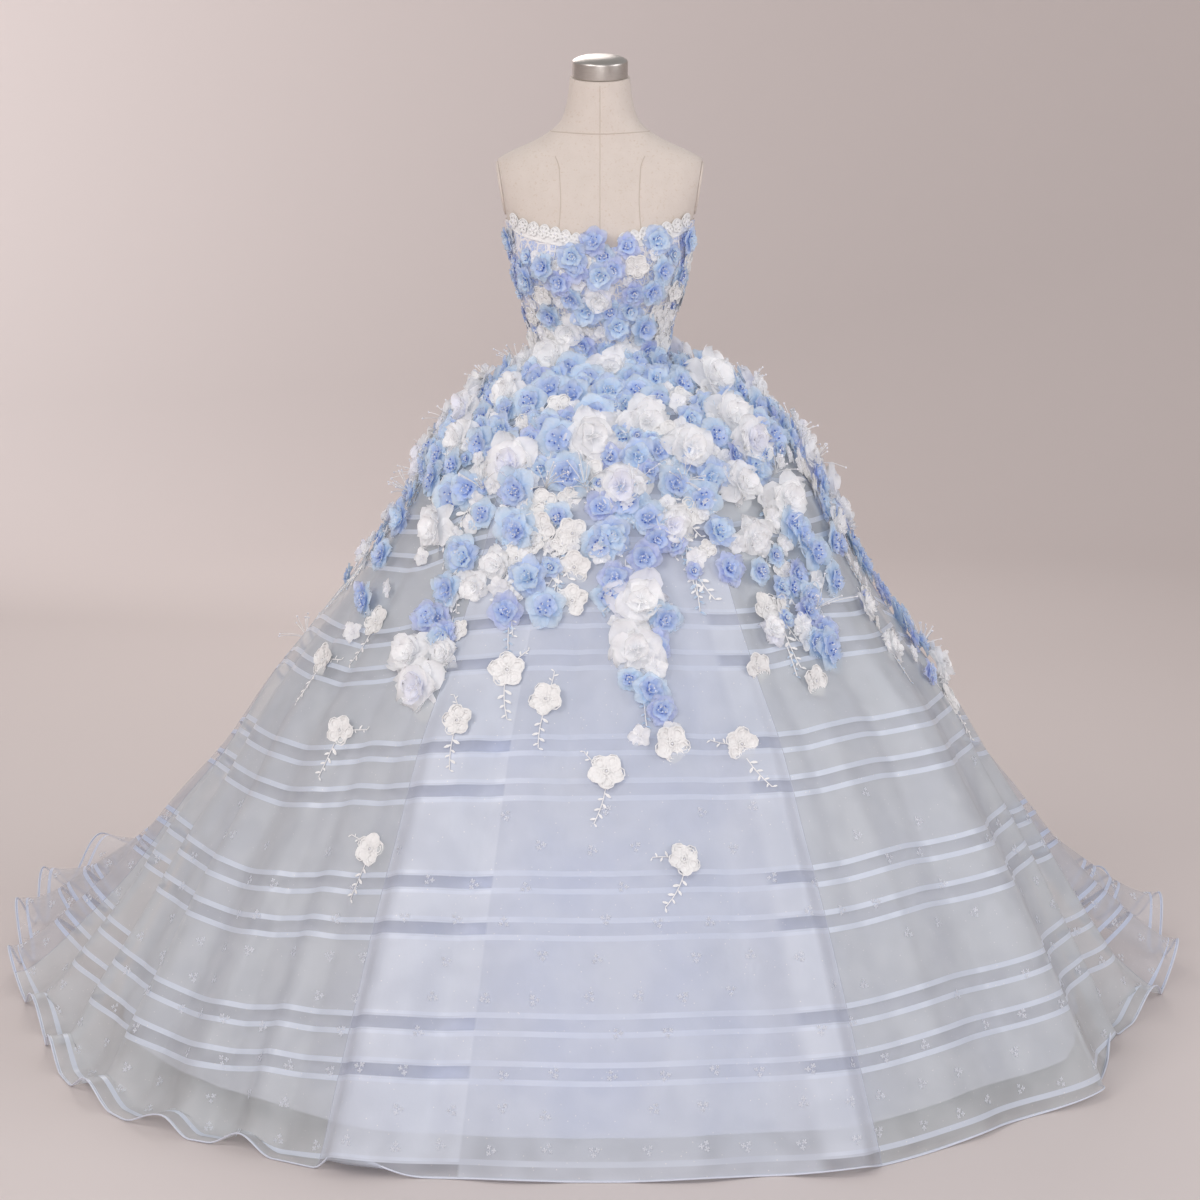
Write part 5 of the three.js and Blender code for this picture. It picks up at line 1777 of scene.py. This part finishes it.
class GOWN_OT_bodice(GownStep):
    """Builds the seven boned panels of the bodice"""

    bl_idname = "gown.bodice"
    bl_label = "Bodice"

    def build(self, settings):
        make_bodice()
        make_bodice_lace(np.random.default_rng(settings.flower_seed + 3))


class GOWN_OT_neckline_lace(GownStep):
    """Builds the scalloped lace along the neckline"""

    bl_idname = "gown.neckline_lace"
    bl_label = "Neckline lace"

    def build(self, settings):
        make_neckline_lace()


class GOWN_OT_underskirt(GownStep):
    """Builds the gathered underskirt"""

    bl_idname = "gown.underskirt"
    bl_label = "Underskirt"

    def build(self, settings):
        make_underskirt()


class GOWN_OT_skirt(GownStep):
    """Builds the striped organza skirt and train with their hem and sprigs"""

    bl_idname = "gown.skirt"
    bl_label = "Skirt and train"

    def build(self, settings):
        make_skirt()
        make_sprigs(np.random.default_rng(settings.flower_seed + 2))


class GOWN_OT_skirt_flowers(GownStep):
    """Sews the flowers round the waist and the hanging sprays"""

    bl_idname = "gown.skirt_flowers"
    bl_label = "Skirt flowers"

    def build(self, settings):
        make_skirt_flowers(np.random.default_rng(settings.flower_seed))


class GOWN_OT_bodice_flowers(GownStep):
    """Sews the flowers on the bodice"""

    bl_idname = "gown.bodice_flowers"
    bl_label = "Bodice flowers"

    def build(self, settings):
        make_bodice_flowers(np.random.default_rng(settings.flower_seed + 1))


class GOWN_OT_studio(GownStep):
    """Sets the floor, the lights and the camera"""

    bl_idname = "gown.studio"
    bl_label = "Studio"

    def build(self, settings):
        make_floor()
        make_studio()


STEPS = [
    GOWN_OT_form,
    GOWN_OT_bodice,
    GOWN_OT_neckline_lace,
    GOWN_OT_underskirt,
    GOWN_OT_skirt,
    GOWN_OT_skirt_flowers,
    GOWN_OT_bodice_flowers,
    GOWN_OT_studio,
]


class GOWN_PT_sidebar(bpy.types.Panel):
    """Lists the gown's settings and steps"""

    bl_label = "Ball gown"
    bl_idname = "GOWN_PT_sidebar"
    bl_space_type = "VIEW_3D"
    bl_region_type = "UI"
    bl_category = "Gown"

    def draw(self, context):
        for name in GownSettings.__annotations__:
            self.layout.prop(context.scene.gown_settings, name)
        for step in STEPS:
            self.layout.operator(step.bl_idname)


CLASSES = [GownSettings, *STEPS, GOWN_PT_sidebar]


def register():
    for each in CLASSES:
        bpy.utils.register_class(each)
    bpy.types.Scene.gown_settings = bpy.props.PointerProperty(type=GownSettings)


def unregister():
    del bpy.types.Scene.gown_settings
    for each in reversed(CLASSES):
        bpy.utils.unregister_class(each)


def main():
    register()
    bpy.ops.gown.form()
    bpy.ops.gown.bodice()
    bpy.ops.gown.neckline_lace()
    bpy.ops.gown.underskirt()
    bpy.ops.gown.skirt()
    bpy.ops.gown.skirt_flowers()
    bpy.ops.gown.bodice_flowers()
    bpy.ops.gown.studio()
    bpy.context.view_layer.update()
    plain = [[[float(x) for x in corner] for corner in box] for box in (CAD_BOX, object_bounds())]


if __name__ == "__main__":
    main()
